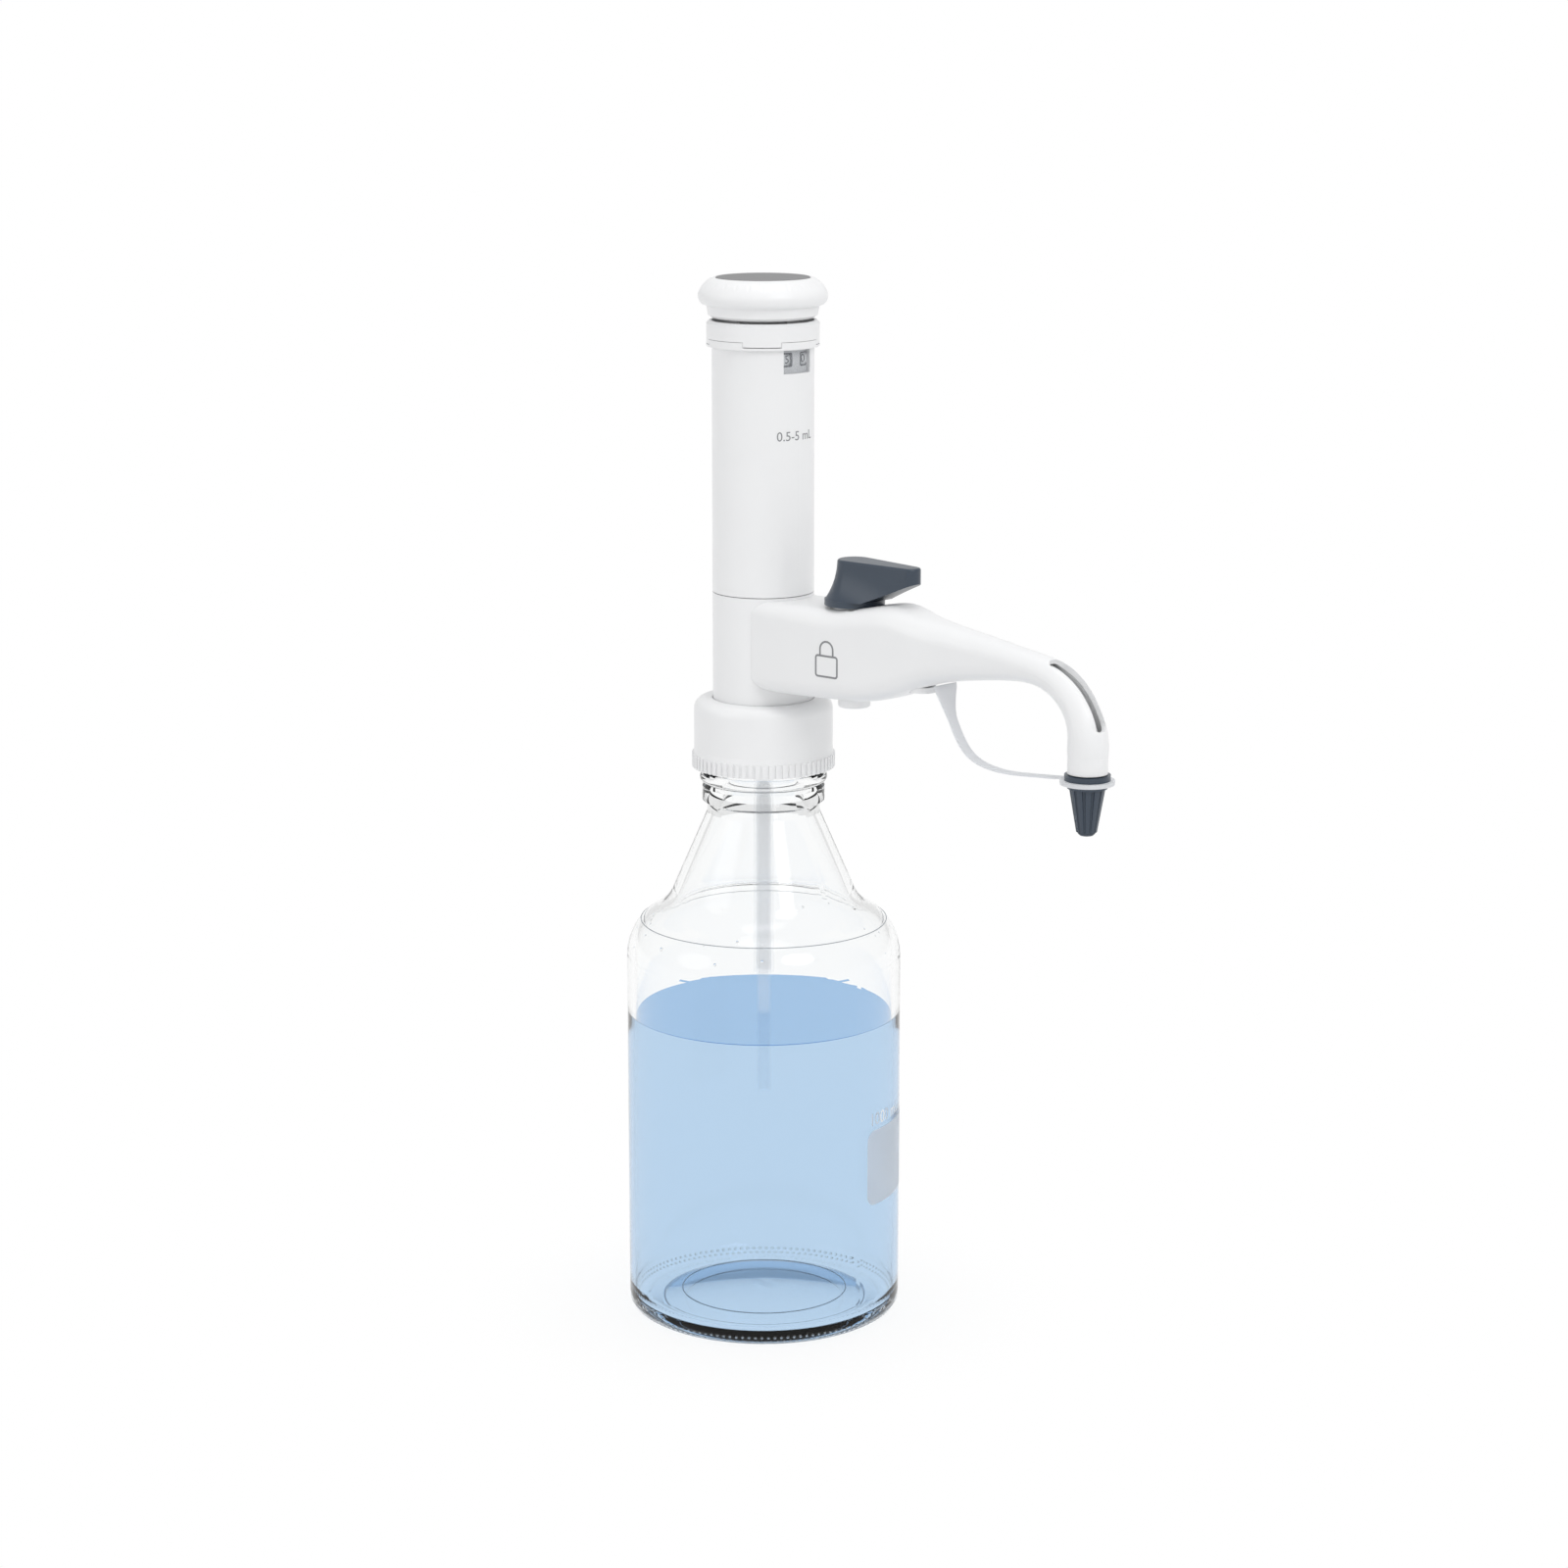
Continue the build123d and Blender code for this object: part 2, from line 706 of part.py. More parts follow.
# Piston, its seal and the rod that the knob turns
rod_top = knob_top - disc_thickness - rod_cover
groove_middle = piston_bottom + seal_groove_rise
with BuildPart() as piston_rod:
    with BuildSketch(Plane.XZ):
        band(0, rod_radius, piston_top, rod_top)
        band(0, rod_tip_radius, piston_top - rod_tip_length, piston_top)
    revolve(axis=Axis.Z)
save(piston_rod.part, "piston_rod")

with BuildPart() as piston:
    with BuildSketch(Plane.XZ):
        band(0, piston_radius, piston_bottom, piston_top)
        band(0, rod_tip_radius, piston_top - rod_tip_length, piston_top, Mode.SUBTRACT)
        band(
            piston_radius - seal_groove_depth,
            piston_radius,
            groove_middle - seal_groove_height / 2,
            groove_middle + seal_groove_height / 2,
            Mode.SUBTRACT,
        )
    revolve(axis=Axis.Z)
save(piston.part, "piston")

with BuildPart() as piston_seal:
    with BuildSketch(Plane.XZ):
        band(
            piston_radius - seal_groove_depth,
            piston_radius + piston_clearance / 2,
            groove_middle - seal_groove_height / 2,
            groove_middle + seal_groove_height / 2,
        )
    revolve(axis=Axis.Z)
save(piston_seal.part, "piston_seal")

# Volume knob with a mushroom rim, shallow flutes and a disc let into the top
boss_bottom = sleeve_top - knob_boss_drop
rim_level = knob_bottom + knob_rim_height
disc_bottom = knob_top - disc_thickness
with BuildPart() as volume_knob:
    with BuildSketch(Plane.XZ):
        with BuildLine():
            Polyline(
                (0, disc_bottom),
                (disc_radius, disc_bottom),
                (disc_radius, knob_top - knob_lip_depth),
                (disc_radius + knob_lip_width, knob_top - knob_lip_drop),
            )
            Spline(
                (disc_radius + knob_lip_width, knob_top - knob_lip_drop),
                (knob_radius - knob_dome_inset, knob_top - knob_dome_drop),
                (knob_radius, rim_level),
                (knob_radius - knob_rim_inset, rim_level - knob_rim_slope),
                (knob_skirt_radius + knob_neck_flare, rim_level - knob_rim_drop),
                tangents=((1, -0.25), (-1, -0.15)),
            )
            Polyline(
                (knob_skirt_radius + knob_neck_flare, rim_level - knob_rim_drop),
                (knob_skirt_radius - knob_neck_inset, knob_bottom + knob_foot_rise),
                (knob_foot_radius, knob_bottom),
                (knob_foot_radius - knob_wall, knob_bottom),
                (knob_foot_radius - knob_wall, disc_bottom - knob_deck),
                (knob_boss_radius, disc_bottom - knob_deck),
                (knob_boss_radius, boss_bottom),
                (rod_radius, boss_bottom),
                (rod_radius, rod_top),
                (0, rod_top),
                (0, disc_bottom),
            )
        make_face()
    revolve(axis=Axis.Z)
    groove_bottom = sleeve_top - turning_gap - clip_thickness
    with BuildSketch(Plane.XZ):
        band(
            knob_boss_radius - clip_groove_depth,
            knob_boss_radius + cut_margin,
            groove_bottom,
            groove_bottom + clip_thickness,
        )
    revolve(axis=Axis.Z, mode=Mode.SUBTRACT)
    flute_run = knob_radius - disc_radius
    flute_rise = knob_top - rim_level
    flute_slope = math.atan2(flute_rise, flute_run)
    off_chord = flute_radius + flute_bulge - flute_depth
    reach = (knob_radius + disc_radius) / 2 + off_chord * math.sin(flute_slope)
    lift = (knob_top + rim_level) / 2 + off_chord * math.cos(flute_slope)
    for flute in range(flute_count):
        turn = 2 * math.pi * (flute + 0.5) / flute_count
        start = Plane(
            origin=(reach * math.cos(turn), reach * math.sin(turn), lift),
            x_dir=(-math.sin(turn), math.cos(turn), 0),
            z_dir=(
                -math.cos(flute_slope) * math.cos(turn),
                -math.cos(flute_slope) * math.sin(turn),
                math.sin(flute_slope),
            ),
        )
        with BuildSketch(start):
            Circle(flute_radius)
        extrude(amount=flute_length, both=True, mode=Mode.SUBTRACT)
save(volume_knob.part, "volume_knob")

with BuildPart() as knob_disc:
    with BuildSketch(Plane.XZ):
        band(0, disc_radius, disc_bottom, knob_top)
    revolve(axis=Axis.Z)
    chamfer(knob_disc.edges().group_by(Axis.Z)[-1], length=small_chamfer)
save(knob_disc.part, "knob_disc")

with BuildPart() as retaining_clip:
    with BuildSketch(Plane.XY.offset(groove_bottom)):
        Circle(clip_radius)
        Circle(knob_boss_radius - clip_groove_depth, mode=Mode.SUBTRACT)
        with Locations((clip_radius, 0)):
            Rectangle(2 * clip_radius - knob_boss_radius, clip_mouth, mode=Mode.SUBTRACT)
    extrude(amount=clip_thickness)
save(retaining_clip.part, "retaining_clip")

# Arm: a moulded shell from the valve block out and down into the spout
taper = bend_x - valve_reach
arm_sections = [
    (arm_rear, arm_axis - arm_bottom, 10.4, 15.3, 5.0),
    (0.34 * valve_reach, arm_axis - arm_bottom, 11.2, 15.8, 5.0),
    (0.60 * valve_reach, arm_axis - arm_bottom, 11.6, 15.2, 5.5),
    (valve_reach, arm_axis - arm_bottom - 0.6, 12.2, 13.6, 6.5),
    (valve_reach + 0.14 * taper, arm_axis - arm_bottom - 1.4, 13.8, 12.4, 7.0),
    (valve_reach + 0.29 * taper, arm_axis - arm_bottom - 4.4, 15.6, 11.0, 7.5),
    (valve_reach + 0.42 * taper, arm_axis - arm_bottom - 9.0, 13.4, 9.6, 7.2),
    (valve_reach + 0.55 * taper, arm_axis - arm_bottom - 12.4, 11.6, 8.2, 6.4),
    (valve_reach + 0.78 * taper, arm_axis - arm_bottom - 15.8, 9.4, 6.6, 5.6),
]
bend_sections = [
    (90.0, 21.4, 6.1),
    (67.0, 21.2, 6.2),
    (45.0, 21.2, 6.4),
    (24.0, 20.2, 6.7),
    (0.0, bend_radius - spout_radius, spout_radius),
]


def arm_skin(inset):
    """The sections of the arm's outside, all set in by one wall."""
    sections = []
    for x, below, above, half_width, corner in arm_sections:
        with BuildSketch(Plane.YZ.offset(x)) as section:
            with Locations((0, arm_axis + (above - below) / 2)):
                RectangleRounded(
                    2 * (half_width - inset),
                    below + above - 2 * inset,
                    corner - inset / 2,
                )
        sections.append(section.sketch)
    for angle, inner, half_width in bend_sections:
        turn = math.radians(angle)
        outer = bend_radius + spout_radius
        middle = (inner + outer) / 2
        depth = outer - inner - 2 * inset
        plane = Plane(
            origin=(bend_x + middle * math.cos(turn), 0, bend_z + middle * math.sin(turn)),
            x_dir=(0, 1, 0),
            z_dir=(math.sin(turn), 0, -math.cos(turn)),
        )
        with BuildSketch(plane) as section:
            RectangleRounded(
                2 * (half_width - inset),
                depth,
                0.49 * min(depth, 2 * (half_width - inset)),
            )
        sections.append(section.sketch)
    return sections


recess_floor = arm_axis + arm_sections[3][2]
anchor_seat = arm_bottom + anchor_rise
valve_foot = arm_axis - arm_sections[3][1]
with BuildPart() as arm_cavity:
    loft(sections=arm_skin(arm_wall))
    with BuildSketch(Plane.XY.offset(bend_z)):
        with Locations((spout_reach, 0)):
            Circle(spout_radius - arm_wall)
    extrude(amount=-spout_drop)
    with BuildSketch(Plane.XY.offset(recess_floor - arm_wall)):
        with Locations((valve_reach, 0)):
            Circle(recess_radius + arm_wall)
    extrude(amount=arm_axis_height, mode=Mode.SUBTRACT)

with BuildPart() as slot_cutter:
    with BuildSketch(Plane.XZ):
        with BuildLine():
            start = math.radians(slot_start_angle)
            end = math.radians(slot_end_angle)
            near = bend_radius
            far = bend_radius + 2 * spout_radius
            Polyline(
                (bend_x + near * math.cos(start), bend_z + near * math.sin(start)),
                (bend_x + far * math.cos(start), bend_z + far * math.sin(start)),
                (bend_x + far * math.cos(end), bend_z + far * math.sin(end)),
                (bend_x + near * math.cos(end), bend_z + near * math.sin(end)),
                close=True,
            )
        make_face()
    extrude(amount=slot_width / 2, both=True)
    short_edges = slot_cutter.edges().filter_by(lambda e: e.length < 2 * spout_radius)
    fillet(short_edges.filter_by(Axis.Y, reverse=True), radius=slot_corner)

with BuildPart() as arm_housing:
    loft(sections=arm_skin(0))
    with BuildSketch(Plane.XY.offset(bend_z)):
        with Locations((spout_reach, 0)):
            Circle(spout_radius)
    extrude(amount=-spout_drop)
    add(arm_cavity.part, mode=Mode.SUBTRACT)
    add(slot_cutter.part, mode=Mode.SUBTRACT)
    with BuildSketch(Plane.XY.offset(arm_bottom - cut_margin)):
        Circle(block_radius + arm_fit)
    extrude(amount=block_height, mode=Mode.SUBTRACT)
    with BuildSketch(Plane.XY.offset(recess_floor)):
        with Locations((valve_reach, 0)):
            Circle(recess_radius)
    extrude(amount=arm_axis_height, mode=Mode.SUBTRACT)
    with BuildSketch(Plane.XY.offset(valve_foot + arm_wall)):
        with Locations((valve_reach, 0)):
            Circle(cone_socket_radius + arm_fit)
    extrude(amount=recess_floor - valve_foot, mode=Mode.SUBTRACT)
    with BuildSketch(Plane.XY.offset(valve_foot)):
        with Locations((valve_reach, 0)):
            Circle(rotor_radius + rotor_fit)
    extrude(amount=3 * arm_wall, mode=Mode.SUBTRACT)
    with BuildSketch(Plane.XY.offset(valve_foot)):
        with Locations((valve_reach, 0)):
            Circle(plug_head_radius + arm_fit)
    extrude(amount=-plug_head_thickness, mode=Mode.SUBTRACT)
    with BuildSketch(Plane.XY.offset(anchor_seat)):
        with Locations((anchor_reach, 0)):
            Circle(anchor_radius + arm_fit)
    extrude(amount=-anchor_seat_depth, mode=Mode.SUBTRACT)
    with BuildSketch(Plane.XY.offset(anchor_seat)):
        with Locations((anchor_reach, 0)):
            Circle(anchor_spigot_radius + arm_fit)
    extrude(amount=2 * arm_wall, mode=Mode.SUBTRACT)
save(arm_housing.part, "arm_housing")

# Valve manifold inside the arm: inlet, ball tower, plug-valve socket and outlet stub
tower_bottom = port_height - tower_foot
tower_top = arm_axis + tower_rise
discharge_seat = port_height + port_radius + discharge_seat_rise
socket_bottom = valve_foot + arm_wall
socket_top = recess_floor + lever_gap
stub_end = valve_reach + cone_socket_radius + outlet_stub_length
tube_start = valve_reach + cone_socket_radius + delivery_tube_start
with BuildPart() as valve_manifold:
    with BuildSketch(Plane.YZ.offset(block_radius - inlet_seat_depth)):
        with Locations((0, port_height)):
            Circle(inlet_radius)
    extrude(amount=tower_reach - block_radius + inlet_seat_depth)
    with BuildSketch(Plane.YZ.offset(tower_reach)):
        with Locations((0, arm_axis)):
            Circle(inlet_radius)
    extrude(amount=valve_reach - tower_reach)
    with BuildSketch(Plane.YZ.offset(valve_reach)):
        with Locations((0, arm_axis)):
            Circle(outlet_stub_radius)
    extrude(amount=stub_end - valve_reach)
    with BuildSketch(Plane.XY.offset(tower_bottom)):
        with Locations((tower_reach, 0)):
            Circle(tower_radius)
    extrude(amount=tower_top - tower_bottom)
    with BuildSketch(Plane.XY.offset(socket_bottom)):
        with Locations((valve_reach, 0)):
            Circle(cone_socket_radius)
    extrude(amount=socket_top - socket_bottom)
    with BuildSketch(Plane.XY.offset(socket_bottom)):
        with Locations((valve_reach, 0)):
            Circle(rotor_radius + rotor_fit)
    extrude(amount=socket_top - socket_bottom, mode=Mode.SUBTRACT)
    with BuildSketch(Plane.YZ.offset(block_radius - inlet_seat_depth)):
        with Locations((0, port_height)):
            Circle(port_radius)
    extrude(amount=tower_reach - block_radius + inlet_seat_depth, mode=Mode.SUBTRACT)
    with BuildSketch(Plane.XY.offset(port_height)):
        with Locations((tower_reach, 0)):
            Circle(valve_seat_radius)
    extrude(amount=discharge_seat - port_height, mode=Mode.SUBTRACT)
    with BuildSketch(Plane.XY.offset(discharge_seat)):
        with Locations((tower_reach, 0)):
            Circle(valve_cage_radius)
    extrude(amount=tower_top - discharge_seat, mode=Mode.SUBTRACT)
    with BuildSketch(Plane.YZ.offset(tower_reach)):
        with Locations((0, arm_axis)):
            Circle(rotor_bore_radius)
    extrude(amount=tube_start - tower_reach, mode=Mode.SUBTRACT)
    with BuildSketch(Plane.YZ.offset(tube_start)):
        with Locations((0, arm_axis)):
            Circle(delivery_tube_radius)
    extrude(amount=stub_end - tube_start, mode=Mode.SUBTRACT)
save(valve_manifold.part, "valve_manifold")

with BuildPart() as discharge_valve_ball:
    with Locations((tower_reach, 0, ball_height(discharge_seat))):
        Sphere(valve_ball_radius)
save(discharge_valve_ball.part, "discharge_valve_ball")

stem_bottom = ball_height(discharge_seat) + valve_ball_lift + valve_ball_radius + valve_ball_gap
plug_foot = arm_axis + rotor_bore_radius + tower_plug_clearance
with BuildPart() as discharge_valve_plug:
    with BuildSketch(Plane.XY.offset(tower_top)):
        with Locations((tower_reach, 0)):
            Circle(tower_plug_radius)
    extrude(amount=tower_plug_height)
    with BuildSketch(Plane.XY.offset(plug_foot)):
        with Locations((tower_reach, 0)):
            Circle(valve_cage_radius)
    extrude(amount=tower_top - plug_foot)
    with BuildSketch(Plane.XY.offset(stem_bottom)):
        with Locations((tower_reach, 0)):
            Circle(tower_stem_radius)
    extrude(amount=tower_top - stem_bottom)
save(discharge_valve_plug.part, "discharge_valve_plug")

# Plug valve: rotor with its stem, and the plug that closes the socket from below
rotor_bottom = arm_axis - rotor_foot
disc_bottom_z = socket_top + lever_gap
with BuildPart() as valve_rotor:
    with BuildSketch(Plane.XY.offset(rotor_bottom)):
        with Locations((valve_reach, 0)):
            Circle(rotor_radius)
    extrude(amount=socket_top - rotor_bottom)
    with BuildSketch(Plane.XY.offset(socket_top)):
        with Locations((valve_reach, 0)):
            Circle(stem_radius)
    extrude(amount=lever_gap + lever_socket_depth)
    with BuildSketch(Plane.YZ.offset(valve_reach)):
        with Locations((0, arm_axis)):
            Circle(rotor_bore_radius)
    extrude(amount=2 * rotor_radius, both=True, mode=Mode.SUBTRACT)
save(valve_rotor.part, "valve_rotor")

with BuildPart() as socket_plug:
    with BuildSketch(Plane.XY.offset(valve_foot - plug_head_thickness)):
        with Locations((valve_reach, 0)):
            Circle(plug_head_radius)
    extrude(amount=plug_head_thickness)
    chamfer(socket_plug.edges().group_by(Axis.Z)[0], length=plug_head_chamfer)
    with BuildSketch(Plane.XY.offset(valve_foot)):
        with Locations((valve_reach, 0)):
            Circle(rotor_radius)
    extrude(amount=rotor_bottom - turning_gap - valve_foot)
save(socket_plug.part, "socket_plug")

# Lever: a disc that sweeps up into a flat-topped handle pointing along the arm
disc_top_z = disc_bottom_z + lever_disc_thickness
tip_reach = lever_tip_reach - lever_tip_radius
lever_sections = [
    (0.0, lever_disc_radius - lever_foot_inset),
    (0.2, lever_top_radius + 2.6),
    (0.45, lever_top_radius + 1.2),
    (1.0, lever_top_radius),
]
with BuildPart() as valve_lever:
    for share, heel in lever_sections:
        with BuildSketch(Plane.XY.offset(disc_top_z + share * lever_height)):
            with BuildLine():
                lean = math.acos((heel - lever_tip_radius) / tip_reach)
                left = (valve_reach + heel * math.cos(lean), heel * math.sin(lean))
                right = (left[0], -left[1])
                tip_left = (
                    valve_reach + tip_reach + lever_tip_radius * math.cos(lean),
                    lever_tip_radius * math.sin(lean),
                )
                tip_right = (tip_left[0], -tip_left[1])
                ThreePointArc(left, (valve_reach - heel, 0), right)
                Line(right, tip_right)
                ThreePointArc(tip_right, (valve_reach + lever_tip_reach, 0), tip_left)
                Line(tip_left, left)
            make_face()
    loft()
    with BuildSketch(Plane.XZ):
        Polygon(
            (valve_reach + lever_disc_radius - lever_foot_inset, disc_top_z),
            (valve_reach + lever_tip_reach + cut_margin, disc_top_z + lever_tip_rise),
            (valve_reach + lever_tip_reach + cut_margin, disc_top_z - cut_margin),
            (valve_reach + lever_disc_radius - lever_foot_inset, disc_top_z - cut_margin),
            align=None,
        )
    extrude(amount=lever_disc_radius, both=True, mode=Mode.SUBTRACT)
    fillet(valve_lever.edges().group_by(Axis.Z)[-1], radius=lever_edge_round)
    with BuildSketch(Plane.XY.offset(disc_bottom_z)):
        with Locations((valve_reach, 0)):
            Circle(lever_disc_radius)
    extrude(amount=lever_disc_thickness)
    with BuildSketch(Plane.XY.offset(disc_bottom_z)):
        with Locations((valve_reach, 0)):
            Circle(stem_radius)
    extrude(amount=lever_socket_depth, mode=Mode.SUBTRACT)
save(valve_lever.part, "valve_lever")

# Delivery tube through the arm, round the bend and out of the spout
tube_tip = spout_bottom - tube_tip_drop
with BuildPart() as delivery_tube:
    with BuildLine() as tube_line:
        Line((tube_start, 0, arm_axis), (bend_x, 0, arm_axis))
        ThreePointArc(
            (bend_x, 0, arm_axis),
            (bend_x + bend_radius * math.sqrt(0.5), 0, bend_z + bend_radius * math.sqrt(0.5)),
            (spout_reach, 0, bend_z),
        )
        Line((spout_reach, 0, bend_z), (spout_reach, 0, tube_tip))
    with BuildSketch(Plane.YZ.offset(tube_start)):
        with Locations((0, arm_axis)):
            Circle(delivery_tube_radius)
            Circle(delivery_tube_bore, mode=Mode.SUBTRACT)
    sweep(path=tube_line.wires()[0])
save(delivery_tube.part, "delivery_tube")

with BuildPart() as spout_bush:
    with BuildSketch(Plane.XY.offset(bend_z)):
        with Locations((spout_reach, 0)):
            Circle(spout_radius - arm_wall)
            Circle(delivery_tube_radius, mode=Mode.SUBTRACT)
    extrude(amount=-bush_length)
save(spout_bush.part, "spout_bush")

# Nozzle cap: castellated spigot, flange, groove for the strap ring and a fluted taper
cap_top = spout_bottom - cap_gap
groove_top = cap_top - cap_flange_thickness
groove_foot = groove_top - cap_groove_height
body_top = groove_foot - cap_shoulder_height
cap_bottom = cap_top - cap_length
lug_radius = spout_radius - arm_wall - lug_clearance
with BuildPart() as nozzle_cap:
    for level, radius, notch in (
        (body_top, cap_body_radius, cap_flute_depth),
        (cap_bottom + cap_tip_height, cap_tip_radius + cap_tip_step, cap_flute_depth / 2),
    ):
        with BuildSketch(Plane.XY.offset(level)):
            with Locations((spout_reach, 0)):
                Circle(radius)
                with PolarLocations(radius, cap_flute_count):
                    Circle(notch, mode=Mode.SUBTRACT)
    loft()
    with BuildSketch(Plane.XY.offset(cap_bottom)):
        with Locations((spout_reach, 0)):
            Circle(cap_tip_radius - cap_tip_step)
    extrude(amount=body_top - cap_bottom)
    chamfer(nozzle_cap.edges().group_by(Axis.Z)[0], length=cap_tip_chamfer)
    for level, radius, thickness in (
        (body_top, cap_shoulder_radius, cap_shoulder_height),
        (groove_foot, cap_groove_radius, cap_groove_height),
        (groove_top, cap_flange_radius, cap_flange_thickness),
        (cap_top, lug_radius, lug_height),
    ):
        with BuildSketch(Plane.XY.offset(level)):
            with Locations((spout_reach, 0)):
                Circle(radius)
        extrude(amount=thickness)
    with BuildSketch(Plane.XY.offset(cap_top)):
        with Locations((spout_reach, 0)):
            Circle(lug_radius - lug_thickness)
            with PolarLocations(lug_radius, lug_count):
                Rectangle(4 * lug_thickness, lug_gap)
    extrude(amount=lug_height, mode=Mode.SUBTRACT)
    with BuildSketch(Plane.XY.offset(tube_tip - cap_bore_spare)):
        with Locations((spout_reach, 0)):
            Circle(cap_bore_radius)
    extrude(amount=cap_top + lug_height - tube_tip + cap_bore_spare, mode=Mode.SUBTRACT)
save(nozzle_cap.part, "nozzle_cap")

with BuildPart() as strap_ring:
    with BuildSketch(Plane.XY.offset(groove_foot)):
        with Locations((spout_reach, 0)):
            Circle(strap_ring_radius)
            Circle(cap_groove_radius, mode=Mode.SUBTRACT)
    extrude(amount=cap_groove_height)
save(strap_ring.part, "strap_ring")

# Strap from the arm's underside to the ring, and the stud that holds its root
strap_end_x = spout_reach - strap_ring_radius
strap_level = groove_foot + cap_groove_height / 2
root_top = arm_bottom + strap_root_rise
strap_points = [
    (strap_root_reach + 0.6, root_top),
    (strap_root_reach + 4.4, arm_bottom - 0.6),
    (strap_root_reach + 12.9, arm_bottom - 11.8),
    (strap_root_reach + 27.0, arm_bottom - 15.4),
    (strap_end_x - 9.0, strap_level - 1.0),
    (strap_end_x, strap_level),
]
with BuildPart() as cap_strap:
    with BuildLine() as strap_line:
        Spline(*[(x, 0, z) for x, z in strap_points])
    strap_start = Plane(origin=strap_line.line @ 0, x_dir=(0, 1, 0), z_dir=strap_line.line % 0)
    with BuildSketch(strap_start):
        Rectangle(strap_root_width, strap_thickness)
    sweep(path=strap_line.wires()[0])
    with BuildSketch(Plane.YZ.offset(strap_root_reach - strap_width)):
        Polygon(
            (-strap_root_width / 2, root_top + cut_margin),
            (-strap_root_width / 2, root_top - cut_margin),
            (-strap_width / 2, arm_bottom - cut_margin),
            (-strap_width / 2, cap_bottom),
            (strap_width / 2, cap_bottom),
            (strap_width / 2, arm_bottom - cut_margin),
            (strap_root_width / 2, root_top - cut_margin),
            (strap_root_width / 2, root_top + cut_margin),
            align=None,
        )
    extrude(amount=spout_reach, mode=Mode.INTERSECT)
save(cap_strap.part, "cap_strap")

with BuildPart() as strap_stud:
    with BuildSketch(Plane.XY.offset(anchor_seat)):
        with Locations((anchor_reach, 0)):
            Circle(anchor_radius)
    extrude(amount=-anchor_head)
    with BuildSketch(Plane.XY.offset(anchor_seat)):
        with Locations((anchor_reach, 0)):
            Circle(anchor_spigot_radius)
    extrude(amount=anchor_spigot_length)
save(strap_stud.part, "strap_stud")
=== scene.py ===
import json
import math
import random

import bmesh
import bpy
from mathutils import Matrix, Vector
from mathutils.bvhtree import BVHTree


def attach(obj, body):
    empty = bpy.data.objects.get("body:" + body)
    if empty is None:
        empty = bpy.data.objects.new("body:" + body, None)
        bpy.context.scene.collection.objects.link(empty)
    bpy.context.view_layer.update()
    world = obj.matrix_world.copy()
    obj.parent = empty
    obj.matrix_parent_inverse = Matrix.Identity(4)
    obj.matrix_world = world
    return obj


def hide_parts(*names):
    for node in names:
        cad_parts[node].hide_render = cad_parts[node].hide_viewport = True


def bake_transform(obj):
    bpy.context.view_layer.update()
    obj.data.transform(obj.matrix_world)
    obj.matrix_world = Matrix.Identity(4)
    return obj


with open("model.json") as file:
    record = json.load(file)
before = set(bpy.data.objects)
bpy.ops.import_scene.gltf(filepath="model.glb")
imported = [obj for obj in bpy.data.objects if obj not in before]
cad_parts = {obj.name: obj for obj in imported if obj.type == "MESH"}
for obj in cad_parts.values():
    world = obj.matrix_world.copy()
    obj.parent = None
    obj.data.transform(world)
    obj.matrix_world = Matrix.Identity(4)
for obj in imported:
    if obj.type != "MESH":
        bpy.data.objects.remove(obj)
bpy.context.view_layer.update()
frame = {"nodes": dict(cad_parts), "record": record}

# Sizes are in millimetres and angles in degrees, unless a comment or a conversion says otherwise
MM = 0.001
UP = Vector((0, 0, 1))

# Camera, as fitted to the photograph: it looks from the spout's side, a little down.
# Distances are in metres, the lens and the sensor in millimetres.
VIEW_TURN = math.radians(45.6)
VIEW_TILT = math.radians(12.43)
VIEW_REACH = 1378 * MM
VIEW_SIDE = 7.5 * MM
VIEW_HEIGHT = 504 * MM
VIEW_LENS = 88.4
SENSOR_WIDTH = 36.0
CLIP_NEAR = 0.05
CLIP_FAR = 200.0

# Bottle
SIDE_RADIUS = 50.5
GLASS_WALL = 3.0
FLOOR_LEVEL = 5.0
FLOOR_DOME = 4.0
INNER_HEEL = 6.0
SHOULDER_LEVEL = 136.5
SHOULDER_CENTRE = 30.5
SHOULDER_RADIUS = 20.0
HEEL_CENTRE = 43.5
HEEL_RADIUS = 7.0

# Rings in the glass: level, size of the section and, in the foot, radius
SEAM_LEVEL = 150.0
SEAM_SIZE = 0.16
SEAM_RISE = 0.02
PUNT_RING_RADIUS = 36.2
PUNT_RING_LEVEL = 1.2
PUNT_RING_SIZE = 0.3
FLOOR_RING_RADIUS = 30.0
FLOOR_RING_LEVEL = 7.0
FLOOR_RING_SIZE = 0.22

# Thread of the neck
THREAD_ROOT = 20.8
THREAD_CREST = 22.45
THREAD_PITCH = 4.0
THREAD_START = 211.2
THREAD_TURNS = 1.9
THREAD_STEPS = 190
THREAD_HALF_WIDTH = 1.25
THREAD_CREST_SHARE = 0.45
THREAD_IN_WALL = 0.5
THREAD_FADE = 14

# Moulded dots round the heel
DOT_LEVELS = (2.4, 4.3)
DOTS_PER_ROW = 132
DOT_SIZE = 0.62
DOT_FLATNESS = 0.45

# Drops in the shoulder
DROP_SEED = 7
DROP_COUNT = 26
DROP_LEVELS = (137.5, 151.0, 150.5)
DROP_SIZES = (0.3, 0.75)
DROP_FLATNESS = 0.4
DROP_SINK = 0.25

